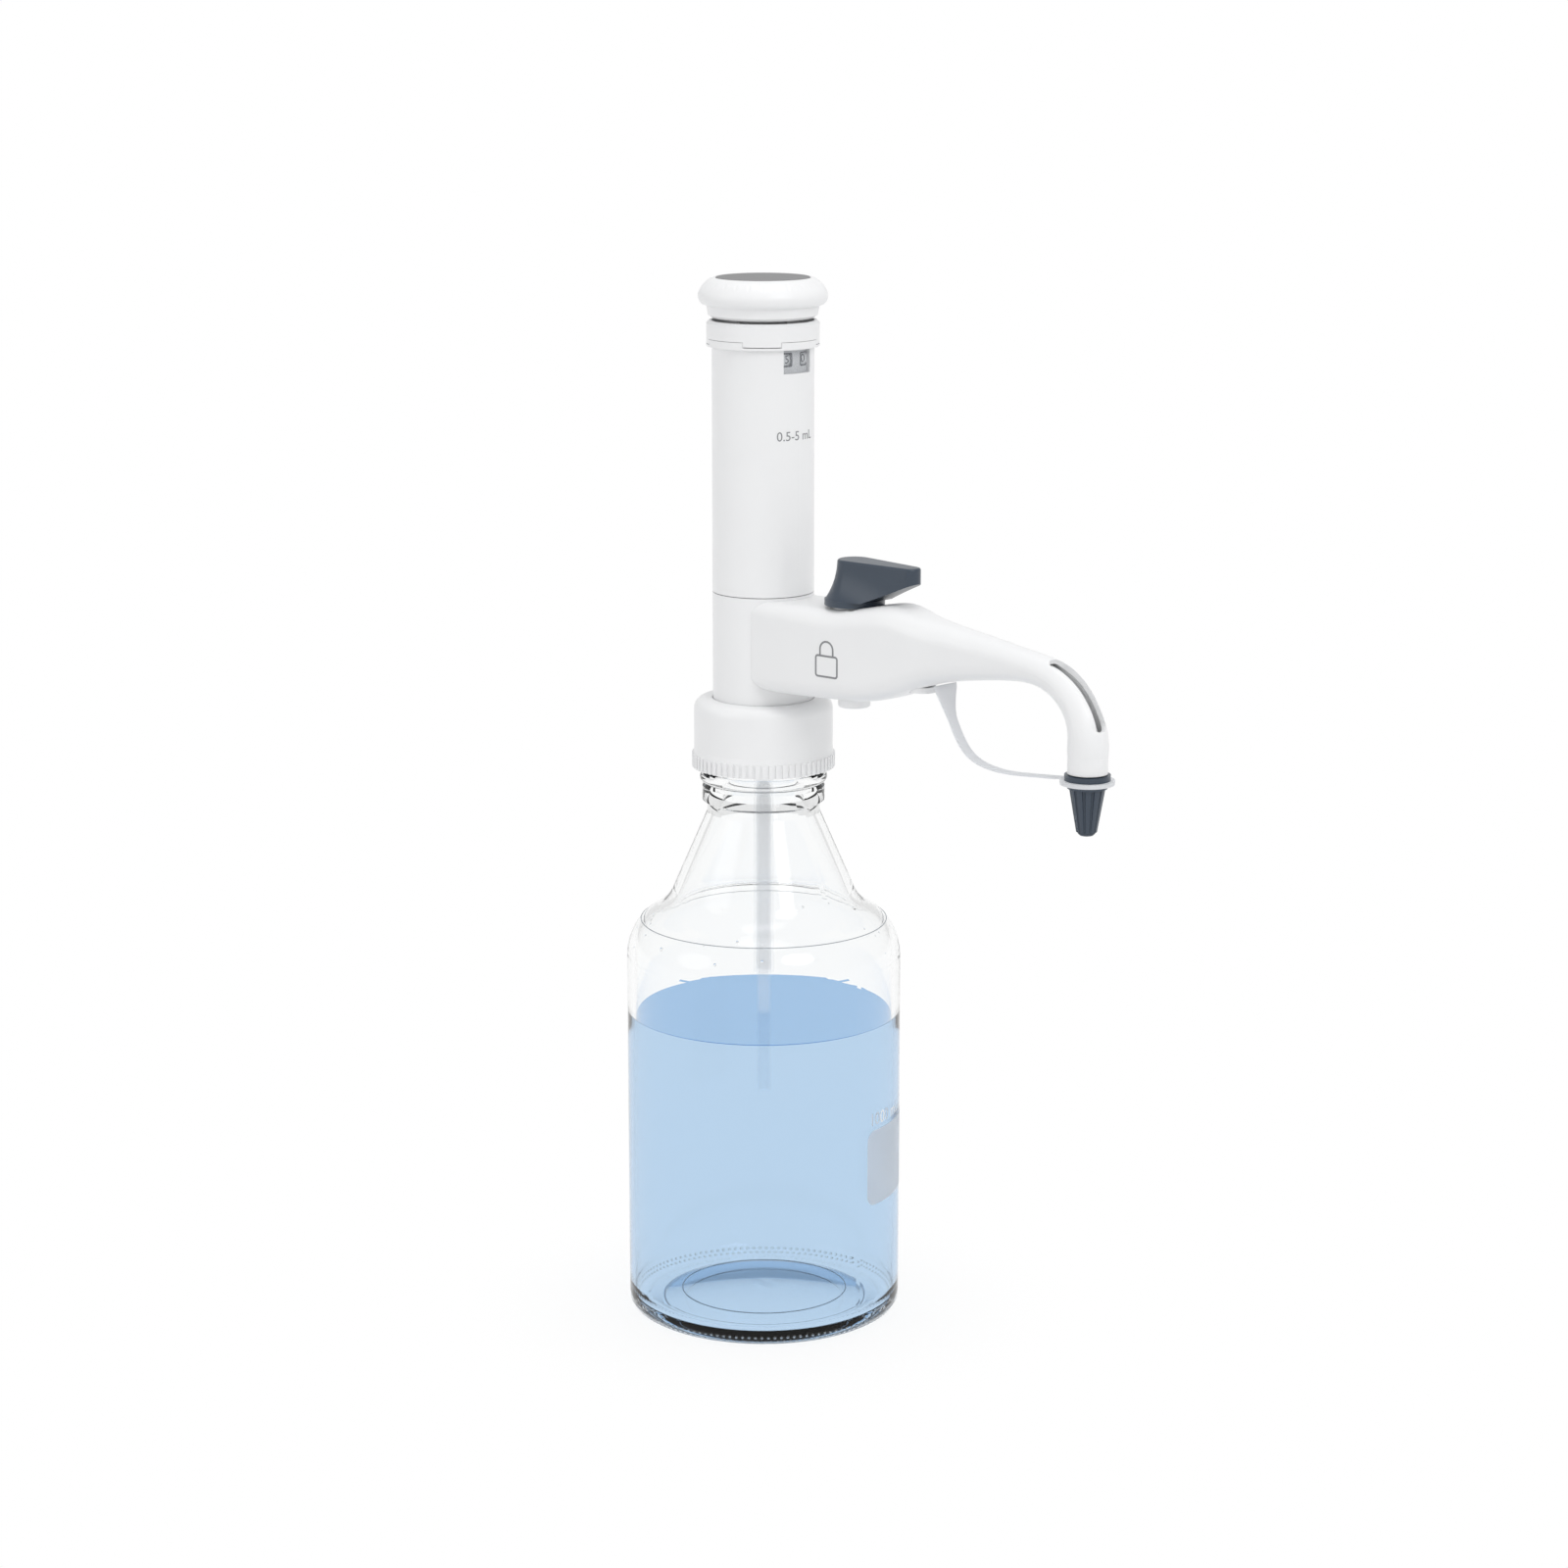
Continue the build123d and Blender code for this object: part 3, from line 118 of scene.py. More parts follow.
# Liquid: the meniscus climbs the glass and dies away within its reach
LIQUID_LEVEL = 114.0
LIQUID_OVERLAP = 0.08
LIQUID_EVEN_END = 8
MENISCUS_TOP = 1.0
MENISCUS_HEIGHT = 0.9
MENISCUS_START = 0.15
MENISCUS_REACH = 4.5
SURFACE_RINGS = (38, 30, 20, 10)

# Strap: its route as (x, z), and a width that grows above a level, towards the arm
STRAP_ROUTE = [
    (90.6, 250.0),
    (94.4, 238.2),
    (102.9, 227.0),
    (117.0, 223.4),
    (138.4, 224.7),
    (147.35, 225.7),
]
STRAP_HALF_WIDTH = 2.25
STRAP_HALF_THICKNESS = 0.4
STRAP_WIDER_FROM = 237.8
STRAP_WIDER_OVER = 11.0
STRAP_WIDER_BY = 3.5
STRAP_WIDER_POWER = 1.4
STRAP_SIDES = 20

# Sleeve, counter and prints
SLEEVE_RADIUS = 18.4
WHEEL_X = 10.2
WHEEL_Z = 357.15
WHEEL_RADIUS = 6.0
WHEEL_OFFSET = 3.9
DIGIT_HEIGHT = 3.0
DIGIT_BOLDNESS = 0.015
DIGIT_THICKNESS = 0.04
DIGIT_CUTS = (-1.0, -0.5, 0.0, 0.5, 1.0)
MASK_RADIUS = 16.62
MASK_THICKNESS = 0.3
MASK_COLUMNS = (-6.9, -6.1, -5.5, -4.0, -2.4, -1.5, -0.5, 0.5, 1.5, 2.4, 4.0, 5.5, 6.1, 6.9)
MASK_ROWS = (350.9, 352.8, 355.1, 357.1, 359.2, 360.7)
OPENING_ROWS = (2, 3)
OPENING_INNER = 2.0
OPENING_OUTER = 5.6
DIGIT_FRAME_RADIUS = 16.93
DIGIT_FRAME_OFFSET = 3.95
DIGIT_FRAME_LINE = 0.45
LETTER_SCALE = 1.38
STRIP_WIDTH = 1.0
PRINT_THICKNESS = 0.05
VOLUME_THICKNESS = 0.06

# Arm: the slot's bend, the tube in it and the padlock on the side
BEND_X = 131.6
BEND_Z = 234.7
SLOT_TUBE_BEND = 26.7
SLOT_TUBE_RADIUS = 2.8
SLOT_TUBE_START = 84
SLOT_TUBE_SPAN = 80
SLOT_TUBE_STEPS = 40
PADLOCK_X = 46.0
PADLOCK_Z = 252.0
PADLOCK_LINE = 0.68
SHACKLE_RADIUS = 2.9
SHACKLE_CENTRE = 6.0
SHACKLE_FEET = (3.9, 4.8)
SHACKLE_STEPS = 14
PRINT_GAP = 0.01

# Roundness of turned and swept pieces
LATHE_SEGMENTS = 160
RING_SEGMENTS = 200
RING_SIDES = 8
TUBE_SIDES = 28
BEAD_ROWS = 4
BEAD_SIDES = 8

# Colours and a fine grain for the materials
SLATE = (0.036, 0.052, 0.076)
LIQUID_SHADE = (0.8, 0.9, 0.97)
FINE_GRAIN = {"grain": 4000.0, "depth": 0.00002}

# Light: the sky's strength, and how dark it gets sideways for glass and gloss
AMBIENT = 0.73
SKY_SEEN = (1, 1, 1)
SKY_LIGHT = (0.985, 0.985, 0.99)
SKY_MIRRORED = (0.8, 0.8, 0.8)
SIDE_DARKNESS = 0.9
SIDE_RANGE = (0.35, 0.95)

# Ground, in metres: the share of plain white near the object, where its shadow shows
GROUND_HALF = 40.0
GROUND_DROP = 0.0002
GROUND_COLOUR = (0.9, 0.9, 0.9)
SHADOW_SHARE = 0.86
SHADOW_RANGE = (0.04, 0.12)

# Lamps, in watts and metres: name, power, size, place as seen from the camera, point aimed at
LAMPS = (
    ("key", 9.0, 0.9, (0.9, 1.3, 1.5), (0.04, 0, 0.22)),
    ("fill", 3.0, 1.0, (-1.5, 0.7, 0.9), (0.04, 0, 0.22)),
    ("top", 5.0, 1.0, (0.1, 0.1, 1.8), (0.04, 0, 0.2)),
)


# Camera
def make_camera():
    camera = bpy.data.cameras.new("camera")
    camera.sensor_width = SENSOR_WIDTH
    camera.lens = VIEW_LENS
    camera.clip_start = CLIP_NEAR
    camera.clip_end = CLIP_FAR
    holder = bpy.data.objects.new("camera", camera)
    bpy.context.scene.collection.objects.link(holder)
    turn = VIEW_TURN
    holder.location = (
        VIEW_REACH * math.sin(turn) + VIEW_SIDE * math.cos(turn),
        -VIEW_REACH * math.cos(turn) + VIEW_SIDE * math.sin(turn),
        VIEW_HEIGHT,
    )
    holder.rotation_euler = (math.pi / 2 - VIEW_TILT, 0, turn)
    bpy.context.scene.camera = holder


make_camera()


# Shader nodes
def math_node(tree, operation, *values):
    node = tree.nodes.new("ShaderNodeMath")
    node.operation = operation
    for socket, value in zip(node.inputs, values):
        tree.links.new(value, socket)
    return node.outputs["Value"]


def map_node(tree, value, source, target):
    """Carries a value from one range over to another, each given as (low, high)."""
    node = tree.nodes.new("ShaderNodeMapRange")
    for end, span in (("From", source), ("To", target)):
        node.inputs[end + " Min"].default_value = span[0]
        node.inputs[end + " Max"].default_value = span[1]
    tree.links.new(value, node.inputs["Value"])
    return node


def mix_shaders(tree, share, first, second):
    mix = tree.nodes.new("ShaderNodeMixShader")
    tree.links.new(share, mix.inputs["Fac"])
    tree.links.new(first, mix.inputs[1])
    tree.links.new(second, mix.inputs[2])
    return mix.outputs["Shader"]


def object_coordinates(tree):
    return tree.nodes.new("ShaderNodeTexCoord").outputs["Object"]


def noise_node(tree, scale, detail=2.0):
    """Noise in the object's own coordinates, scale in features per metre."""
    texture = tree.nodes.new("ShaderNodeTexNoise")
    texture.inputs["Scale"].default_value = scale
    texture.inputs["Detail"].default_value = detail
    tree.links.new(object_coordinates(tree), texture.inputs["Vector"])
    return texture.outputs["Fac"]


def seen_or_refracted(tree, path):
    """One for rays that come off gloss or through glass, else zero."""
    return math_node(
        tree, "MAXIMUM", path.outputs["Is Glossy Ray"], path.outputs["Is Transmission Ray"]
    )


# Materials
def node_tree(name):
    material = bpy.data.materials.new(name)
    material.use_nodes = True
    tree = material.node_tree
    return material, tree, tree.nodes["Principled BSDF"]


def vary_colour(tree, shader, colour, spread, scale):
    """The colour drifts a little, as pigment does across a moulding."""
    mix = tree.nodes.new("ShaderNodeMix")
    mix.data_type = "RGBA"
    mix.inputs["A"].default_value = (*[c * (1 - spread) for c in colour], 1)
    mix.inputs["B"].default_value = (*[min(1.0, c * (1 + spread)) for c in colour], 1)
    tree.links.new(noise_node(tree, scale), mix.inputs["Factor"])
    tree.links.new(mix.outputs["Result"], shader.inputs["Base Color"])


def vary_roughness(tree, shader, roughness, spread, scale):
    span = (roughness - spread, roughness + spread)
    ramp = map_node(tree, noise_node(tree, scale), (0.0, 1.0), span)
    tree.links.new(ramp.outputs["Result"], shader.inputs["Roughness"])


def add_bump(tree, shader, scale, strength, depth, detail=2.0):
    """Fine relief; the depth is in metres."""
    bump = tree.nodes.new("ShaderNodeBump")
    bump.inputs["Strength"].default_value = strength
    bump.inputs["Distance"].default_value = depth
    tree.links.new(noise_node(tree, scale, detail), bump.inputs["Height"])
    tree.links.new(bump.outputs["Normal"], shader.inputs["Normal"])


def plastic(name, colour, roughness, spread=0.015, grain=2400.0, depth=0.00004):
    material, tree, shader = node_tree(name)
    vary_colour(tree, shader, colour, spread, scale=55.0)
    vary_roughness(tree, shader, roughness, spread=0.04, scale=350.0)
    add_bump(tree, shader, grain, strength=0.35, depth=depth)
    return material


def let_lamps_through(tree, shader, colour):
    """Rays towards a lamp pass straight through, so that what stands behind glass is lit."""
    path = tree.nodes.new("ShaderNodeLightPath")
    clear = tree.nodes.new("ShaderNodeBsdfTransparent")
    clear.inputs["Color"].default_value = (*colour, 1)
    both = mix_shaders(
        tree, path.outputs["Is Shadow Ray"], shader.outputs["BSDF"], clear.outputs["BSDF"]
    )
    tree.links.new(both, tree.nodes["Material Output"].inputs["Surface"])


def glass(name, colour, ior, roughness=0.0, ripple=0.0, shade=None):
    """Clear glass or liquid; shade is what it takes from light on its way to other pieces."""
    material, tree, shader = node_tree(name)
    shader.inputs["Base Color"].default_value = (*colour, 1)
    shader.inputs["Transmission Weight"].default_value = 1.0
    shader.inputs["IOR"].default_value = ior
    shader.inputs["Roughness"].default_value = roughness
    if ripple:
        add_bump(tree, shader, scale=22.0, strength=ripple, depth=0.0012, detail=1.0)
    let_lamps_through(tree, shader, shade or colour)
    return material


def metal(name, colour, roughness):
    material, tree, shader = node_tree(name)
    shader.inputs["Metallic"].default_value = 1.0
    vary_colour(tree, shader, colour, spread=0.04, scale=180.0)
    vary_roughness(tree, shader, roughness, spread=0.08, scale=900.0)
    add_bump(tree, shader, scale=1800.0, strength=0.3, depth=0.00003)
    return material


def soft_clear(name, colour, clearness, roughness):
    """Milky plastic or enamel that lets part of the light through."""
    material, tree, shader = node_tree(name)
    vary_colour(tree, shader, colour, spread=0.02, scale=80.0)
    shader.inputs["Transmission Weight"].default_value = clearness
    shader.inputs["IOR"].default_value = 1.42
    shader.inputs["Roughness"].default_value = roughness
    add_bump(tree, shader, scale=1500.0, strength=0.25, depth=0.00004)
    let_lamps_through(tree, shader, [0.5 + 0.5 * c for c in colour])
    return material


def film(name, colour, cover, roughness=0.2):
    """Thin clear plastic that lets all but a share of the light straight through."""
    material, tree, shader = node_tree(name)
    vary_colour(tree, shader, colour, spread=0.02, scale=80.0)
    vary_roughness(tree, shader, roughness, spread=0.05, scale=300.0)
    shader.inputs["Alpha"].default_value = cover
    return material


finishes = {
    "bottle_glass": glass("bottle_glass", (0.985, 0.99, 0.99), 1.3, ripple=0.06),
    "barrel_glass": glass("barrel_glass", (0.95, 0.965, 0.97), 1.47, 0.06),
    "white_plastic": plastic("white_plastic", (0.85, 0.855, 0.86), 0.34),
    "slate_plastic": plastic("slate_plastic", SLATE, 0.3, 0.06, 1800.0, 0.00005),
    "grey_plastic": plastic("grey_plastic", (0.2, 0.2, 0.205), 0.5, 0.04, 3000.0, 0.00005),
    "clear_plastic": film("clear_plastic", (0.62, 0.66, 0.72), 0.09),
    "strap_plastic": soft_clear("strap_plastic", (0.84, 0.855, 0.88), 0.2, 0.35),
    "seal_rubber": plastic("seal_rubber", (0.7, 0.72, 0.74), 0.6, 0.03),
    "fluoropolymer": plastic("fluoropolymer", (0.86, 0.86, 0.85), 0.45, 0.02),
    "valve_ball": glass("valve_ball", (0.9, 0.94, 0.95), 1.6),
    "steel": metal("steel", (0.62, 0.63, 0.65), 0.28),
    "digit_plastic": plastic("digit_plastic", (0.62, 0.63, 0.64), 0.55, 0.02),
    "liquid": glass("liquid", (0.5, 0.665, 0.85), 1.02, shade=LIQUID_SHADE),
}
# Painted shade: a darker, deeper blue copy of the liquid, for the top faces of its surface
painted_shade_liquid_top = glass("painted_shade_liquid_top", (0.27, 0.46, 0.74), 1.02, shade=LIQUID_SHADE)
ink = plastic("ink", (0.09, 0.093, 0.1), 0.6, 0.08, **FINE_GRAIN)
pale_ink = plastic("pale_ink", (0.24, 0.245, 0.255), 0.6, 0.08, **FINE_GRAIN)
mask_grey = plastic("mask_grey", (0.56, 0.57, 0.58), 0.55, 0.05, 3000.0, 0.00003)
# Painted shade: opaque dark grey for thin dark lines in the clear glass
painted_shade_grey = plastic("painted_shade_grey", (0.3, 0.33, 0.36), 0.4, 0.1, 2500.0, 0.00002)
enamel = soft_clear("enamel", (0.8, 0.83, 0.87), 0.75, 0.5)
milky_tube = plastic("milky_tube", (0.9, 0.905, 0.91), 0.18, 0.02)

for part in frame["record"]["subparts"]:
    node = frame["nodes"][part["node"]]
    node.data.materials.clear()
    node.data.materials.append(finishes[part["material_slot"]])
frame["nodes"]["delivery_tube"].data.materials[0] = milky_tube


# Geometry helpers
def level_way(turn):
    """The level direction at an angle, in radians, round the upright axis."""
    return Vector((math.cos(turn), math.sin(turn), 0))


def round_section(radius, sides):
    turns = [2 * math.pi * k / sides for k in range(sides)]
    return [(radius * math.cos(turn), radius * math.sin(turn)) for turn in turns]


def link_mesh(name, mesh, material):
    mesh.materials.append(material)
    piece = bpy.data.objects.new(name, mesh)
    bpy.context.scene.collection.objects.link(piece)
    return piece


def make_piece(name, points, faces, material, body):
    """A smooth mesh piece from points in millimetres, riding on a body if one is given."""
    mesh = bpy.data.meshes.new(name)
    mesh.from_pydata([Vector(p) * MM for p in points], [], faces)
    mesh.update()
    for face in mesh.polygons:
        face.use_smooth = True
    piece = link_mesh(name, mesh, material)
    if body:
        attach(piece, body)
    return piece


def lathe(name, outline, material, body):
    """A turned piece; the outline runs from the axis, round the section and back to the axis."""
    segments = LATHE_SEGMENTS
    points = [(0, 0, outline[0][1])]
    rings = outline[1:-1]
    for r, z in rings:
        for i in range(segments):
            turn = 2 * math.pi * i / segments
            points.append((r * math.cos(turn), r * math.sin(turn), z))
    points.append((0, 0, outline[-1][1]))
    last = len(points) - 1
    faces = []
    for i in range(segments):
        j = (i + 1) % segments
        faces.append((0, 1 + j, 1 + i))
        for row in range(len(rings) - 1):
            low = 1 + row * segments
            high = low + segments
            faces.append((low + i, low + j, high + j, high + i))
        top = 1 + (len(rings) - 1) * segments
        faces.append((top + i, top + j, last))
    return make_piece(name, points, faces, material, body)


def sweep(name, path, section, material, body, closed=False):
    """A closed outline carried along frames given as (origin, across, up, scale)."""
    points = []
    for origin, across, up, scale in path:
        for u, v in section:
            points.append(origin + across * (u * scale[0]) + up * (v * scale[1]))
    count = len(section)
    faces = []
    rows = len(path) if closed else len(path) - 1
    for row in range(rows):
        low = row * count
        high = ((row + 1) % len(path)) * count
        for i in range(count):
            j = (i + 1) % count
            faces.append((low + i, low + j, high + j, high + i))
    if not closed:
        faces.append(tuple(range(count))[::-1])
        faces.append(tuple(range(len(points) - count, len(points))))
    return make_piece(name, points, faces, material, body)


def add_bead(points, faces, centre, out, size, flat):
    """A small round bead, flattened along the way out of the surface that it sits on."""
    side = Vector((-out.y, out.x, 0)).normalized()
    up = out.cross(side)
    rows = BEAD_ROWS
    count = BEAD_SIDES
    base = len(points)
    points.append(centre - out * size * flat)
    for row in range(1, rows):
        tilt = math.pi * row / rows
        for k in range(count):
            turn = 2 * math.pi * k / count
            spread = side * math.cos(turn) + up * math.sin(turn)
            point = centre + spread * size * math.sin(tilt) - out * size * flat * math.cos(tilt)
            points.append(point)
    points.append(centre + out * size * flat)
    last = len(points) - 1
    for k in range(count):
        j = (k + 1) % count
        faces.append((base, base + 1 + j, base + 1 + k))
        for row in range(rows - 2):
            low = base + 1 + row * count
            faces.append((low + k, low + j, low + count + j, low + count + k))
        top = base + 1 + (rows - 2) * count
        faces.append((top + k, top + j, last))


# Liquid with a small meniscus, filling the bottle to its level
def make_liquid():
    wall = SIDE_RADIUS - GLASS_WALL + LIQUID_OVERLAP
    heel = INNER_HEEL
    edge = wall - heel
    floor = FLOOR_LEVEL - LIQUID_OVERLAP
    floor_steps = 12
    heel_steps = 8
    wall_steps = 11
    meniscus_steps = 9
    outline = [(0, floor + FLOOR_DOME)]
    dome = (edge**2 + FLOOR_DOME**2) / (2 * FLOOR_DOME)
    for step in range(1, floor_steps):
        r = edge * step / floor_steps
        drop = dome - math.sqrt(dome**2 - r**2)
        outline.append((r, floor + FLOOR_DOME - drop))
    for step in range(heel_steps + 1):
        turn = math.pi / 2 * step / heel_steps
        outline.append((edge + heel * math.sin(turn), floor + heel * (1 - math.cos(turn))))
    rise = LIQUID_LEVEL - LIQUID_EVEN_END - floor - heel
    for step in range(1, wall_steps + 1):
        outline.append((wall, floor + heel + rise * step / wall_steps))
    outline.append((wall, LIQUID_LEVEL + MENISCUS_TOP))
    for step in range(meniscus_steps + 1):
        reach = MENISCUS_START + MENISCUS_REACH * (step / meniscus_steps) ** 2
        climb = MENISCUS_HEIGHT * math.exp(-reach / MENISCUS_HEIGHT)
        outline.append((wall - reach, LIQUID_LEVEL + climb))
    for r in SURFACE_RINGS:
        outline.append((r, LIQUID_LEVEL))
    outline.append((0, LIQUID_LEVEL))
    liquid = lathe("liquid", outline, finishes["liquid"], "bottle")
    liquid.data.materials.append(painted_shade_liquid_top)
    # The faces on top of the liquid take the darker blue copy, as painted shade
    for face in liquid.data.polygons:
        if face.normal.z > 0.5 and face.center.z > (LIQUID_LEVEL - 1) * MM:
            face.material_index = 1


make_liquid()


# Helical thread on the bottle's neck, fading out at both ends
def make_neck_thread():
    crest = THREAD_CREST - THREAD_ROOT
    half = THREAD_HALF_WIDTH
    section = [(-THREAD_IN_WALL, -half), (crest, -THREAD_CREST_SHARE * half)]
    section += [(crest, THREAD_CREST_SHARE * half), (-THREAD_IN_WALL, half)]
    path = []
    for step in range(THREAD_STEPS + 1):
        along = step / THREAD_STEPS
        out = level_way(2 * math.pi * THREAD_TURNS * along)
        level = THREAD_START + THREAD_PITCH * THREAD_TURNS * along
        fade = min(1.0, along * THREAD_FADE, (1 - along) * THREAD_FADE)
        scale = (0.15 + 0.85 * fade, 0.4 + 0.6 * fade)
        path.append((out * THREAD_ROOT + UP * level, out, UP, scale))
    sweep("neck_thread", path, section, finishes["bottle_glass"], "bottle")


make_neck_thread()


def shoulder_reach(level, inset=0.0):
    """The radius of the shoulder's round at a level, set in from the outer face."""
    rise = level - SHOULDER_LEVEL
    return SHOULDER_CENTRE + math.sqrt((SHOULDER_RADIUS - inset) ** 2 - rise**2)


def heel_reach(level):
    """The radius of the heel's round at a level."""
    return HEEL_CENTRE + math.sqrt(HEEL_RADIUS**2 - (HEEL_RADIUS - level) ** 2)


# Thin rings in the bottle: the seam of the shoulder and two in the foot. The seam is a real ridge.
# The seam and the floor ring are opaque dark grey, as painted shade for the dark lines that the
# clear glass shows there; the punt ring is clear glass
def make_ring(name, radius, level, size, material):
    path = []
    for i in range(RING_SEGMENTS):
        out = level_way(2 * math.pi * i / RING_SEGMENTS)
        path.append((out * radius + UP * level, out, UP, (1, 1)))
    section = round_section(size, RING_SIDES)
    sweep(name, path, section, material, "bottle", closed=True)


seam_radius = shoulder_reach(SEAM_LEVEL) + SEAM_RISE
punt_glass = finishes["bottle_glass"]
make_ring("shoulder_seam", seam_radius, SEAM_LEVEL, SEAM_SIZE, painted_shade_grey)
make_ring("punt_ring", PUNT_RING_RADIUS, PUNT_RING_LEVEL, PUNT_RING_SIZE, punt_glass)
make_ring("floor_ring", FLOOR_RING_RADIUS, FLOOR_RING_LEVEL, FLOOR_RING_SIZE, painted_shade_grey)


# Two rows of moulded dots round the heel, the upper one half a pitch on
def make_heel_dots():
    points = []
    faces = []
    for row, level in enumerate(DOT_LEVELS):
        reach = heel_reach(level)
        for k in range(DOTS_PER_ROW):
            around = level_way(2 * math.pi * (k + 0.5 * row) / DOTS_PER_ROW)
            out = (around * (reach - HEEL_CENTRE) + UP * (level - HEEL_RADIUS)).normalized()
            centre = around * reach + UP * level
            add_bead(points, faces, centre, out, DOT_SIZE, DOT_FLATNESS)
    make_piece("heel_dots", points, faces, finishes["bottle_glass"], "bottle")


make_heel_dots()


# Drops that cling to the inside of the shoulder
def make_drops():
    dice = random.Random(DROP_SEED)
    points = []
    faces = []
    for _ in range(DROP_COUNT):
        turn = dice.uniform(0, 2 * math.pi)
        level = dice.triangular(*DROP_LEVELS)
        size = dice.uniform(*DROP_SIZES)
        around = level_way(turn)
        reach = shoulder_reach(level, GLASS_WALL)
        out = (around * (reach - SHOULDER_CENTRE) + UP * (level - SHOULDER_LEVEL)).normalized()
        centre = around * reach + UP * level - out * size * DROP_SINK
        add_bead(points, faces, centre, out, size, DROP_FLATNESS)
    make_piece("drops", points, faces, finishes["bottle_glass"], "bottle")


make_drops()


def smooth_route(points, per_run=14):
    """Points along a curve that passes through each of the given ones."""
    route = []
    count = len(points)
    for i in range(count - 1):
        before = Vector(points[max(i - 1, 0)])
        start = Vector(points[i])
        end = Vector(points[i + 1])
        after = Vector(points[min(i + 2, count - 1)])
        leave = (end - before) / 2
        arrive = (after - start) / 2
        for step in range(per_run):
            t = step / per_run
            h = (2 * t**3 - 3 * t**2 + 1, t**3 - 2 * t**2 + t, 3 * t**2 - 2 * t**3, t**3 - t**2)
            route.append(start * h[0] + leave * h[1] + end * h[2] + arrive * h[3])
    route.append(Vector(points[-1]))
    return route


# Strap: a tapered flat band with rounded edges, from the arm down and round to its ring
def make_strap():
    route = smooth_route(STRAP_ROUTE)
    section = []
    for k in range(STRAP_SIDES):
        turn = 2 * math.pi * k / STRAP_SIDES
        u = math.copysign(abs(math.cos(turn)) ** 0.45, math.cos(turn))
        v = math.copysign(abs(math.sin(turn)) ** 0.8, math.sin(turn))
        section.append((u, v * STRAP_HALF_THICKNESS))
    path = []
    for i, point in enumerate(route):
        ahead = route[min(i + 1, len(route) - 1)]
        behind = route[max(i - 1, 0)]
        run = (ahead - behind).normalized()
        up = Vector((-run.y, 0, run.x))
        z = point.y
        share = min(1.0, max(0.0, (z - STRAP_WIDER_FROM) / STRAP_WIDER_OVER))
        half = STRAP_HALF_WIDTH + STRAP_WIDER_BY * share**STRAP_WIDER_POWER
        path.append((Vector((point.x, 0, z)), Vector((0, 1, 0)), up, (half, 1)))
    strap = sweep("strap", path, section, finishes["strap_plastic"], None)
    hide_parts("cap_strap")
    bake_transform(strap)


make_strap()


# Prints: flat outlines, cut up and thickened, then laid on a surface
def text_mesh(text, height, bold=0.0):
    """The flat mesh of a text in millimetres, centred on its own middle."""
    curve = bpy.data.curves.new("text_" + text, "FONT")
    curve.body = text
    curve.align_x = "CENTER"
    curve.align_y = "CENTER"
    curve.size = height * LETTER_SCALE
    curve.offset = bold
    curve.resolution_u = 6
    holder = bpy.data.objects.new("text_holder", curve)
    bpy.context.scene.collection.objects.link(holder)
    bpy.context.view_layer.update()
    mesh = bpy.data.meshes.new_from_object(holder)
    bpy.data.objects.remove(holder)
    work = bmesh.new()
    work.from_mesh(mesh)
    bpy.data.meshes.remove(mesh)
    return work


def cut_across(work, place, normal):
    geometry = work.verts[:] + work.edges[:] + work.faces[:]
    bmesh.ops.bisect_plane(work, geom=geometry, plane_co=place, plane_no=normal)


def slice_up(work):
    """Cuts a flat mesh into narrow upright strips, so that it bends evenly."""
    low = min(v.co.x for v in work.verts)
    high = max(v.co.x for v in work.verts)
    cuts = int((high - low) / STRIP_WIDTH)
    for i in range(1, cuts + 1):
        cut_across(work, (low + (high - low) * i / (cuts + 1), 0, 0), (1, 0, 0))


def thicken(work, thickness):
    """Makes a closed sheet of the flat faces, with a copy of them above and walls between."""
    faces = work.faces[:]
    grown = bmesh.ops.extrude_face_region(work, geom=faces)
    moved = [g for g in grown["geom"] if isinstance(g, bmesh.types.BMVert)]
    for vert in moved:
        vert.co.z += thickness
    bmesh.ops.reverse_faces(work, faces=faces)


def finish_print(work, name, place, material, body):
    """Puts each vertex of a flat print where place(x, y, z) says, in millimetres."""
    for vert in work.verts:
        vert.co = Vector(place(vert.co.x, vert.co.y, vert.co.z)) * MM
    bmesh.ops.recalc_face_normals(work, faces=work.faces[:])
    mesh = bpy.data.meshes.new(name)
    work.to_mesh(mesh)
    work.free()
    piece = link_mesh(name, mesh, material)
    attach(piece, body)


def on_cylinder(radius, azimuth, level):
    """Places a flat print on an upright cylinder, its middle at an azimuth and a level."""

    def place(x, y, z):
        turn = math.radians(azimuth) + x / radius
        reach = radius + z
        return reach * math.cos(turn), reach * math.sin(turn), level + y

    return place


def stroke_band(work, line, width, closed):
    """A flat band of even width along a line of (x, y) points."""
    count = len(line)
    left = []
    right = []
    for i, point in enumerate(line):
        here = Vector(point)
        ahead = Vector(line[(i + 1) % count]) if closed or i < count - 1 else here
        behind = Vector(line[i - 1]) if closed or i > 0 else here
        run = (ahead - behind).normalized()
        side = Vector((-run.y, run.x)) * width / 2
        left.append(work.verts.new((*(here + side), 0)))
        right.append(work.verts.new((*(here - side), 0)))
    for i in range(count if closed else count - 1):
        j = (i + 1) % count
        work.faces.new((right[i], right[j], left[j], left[i]))


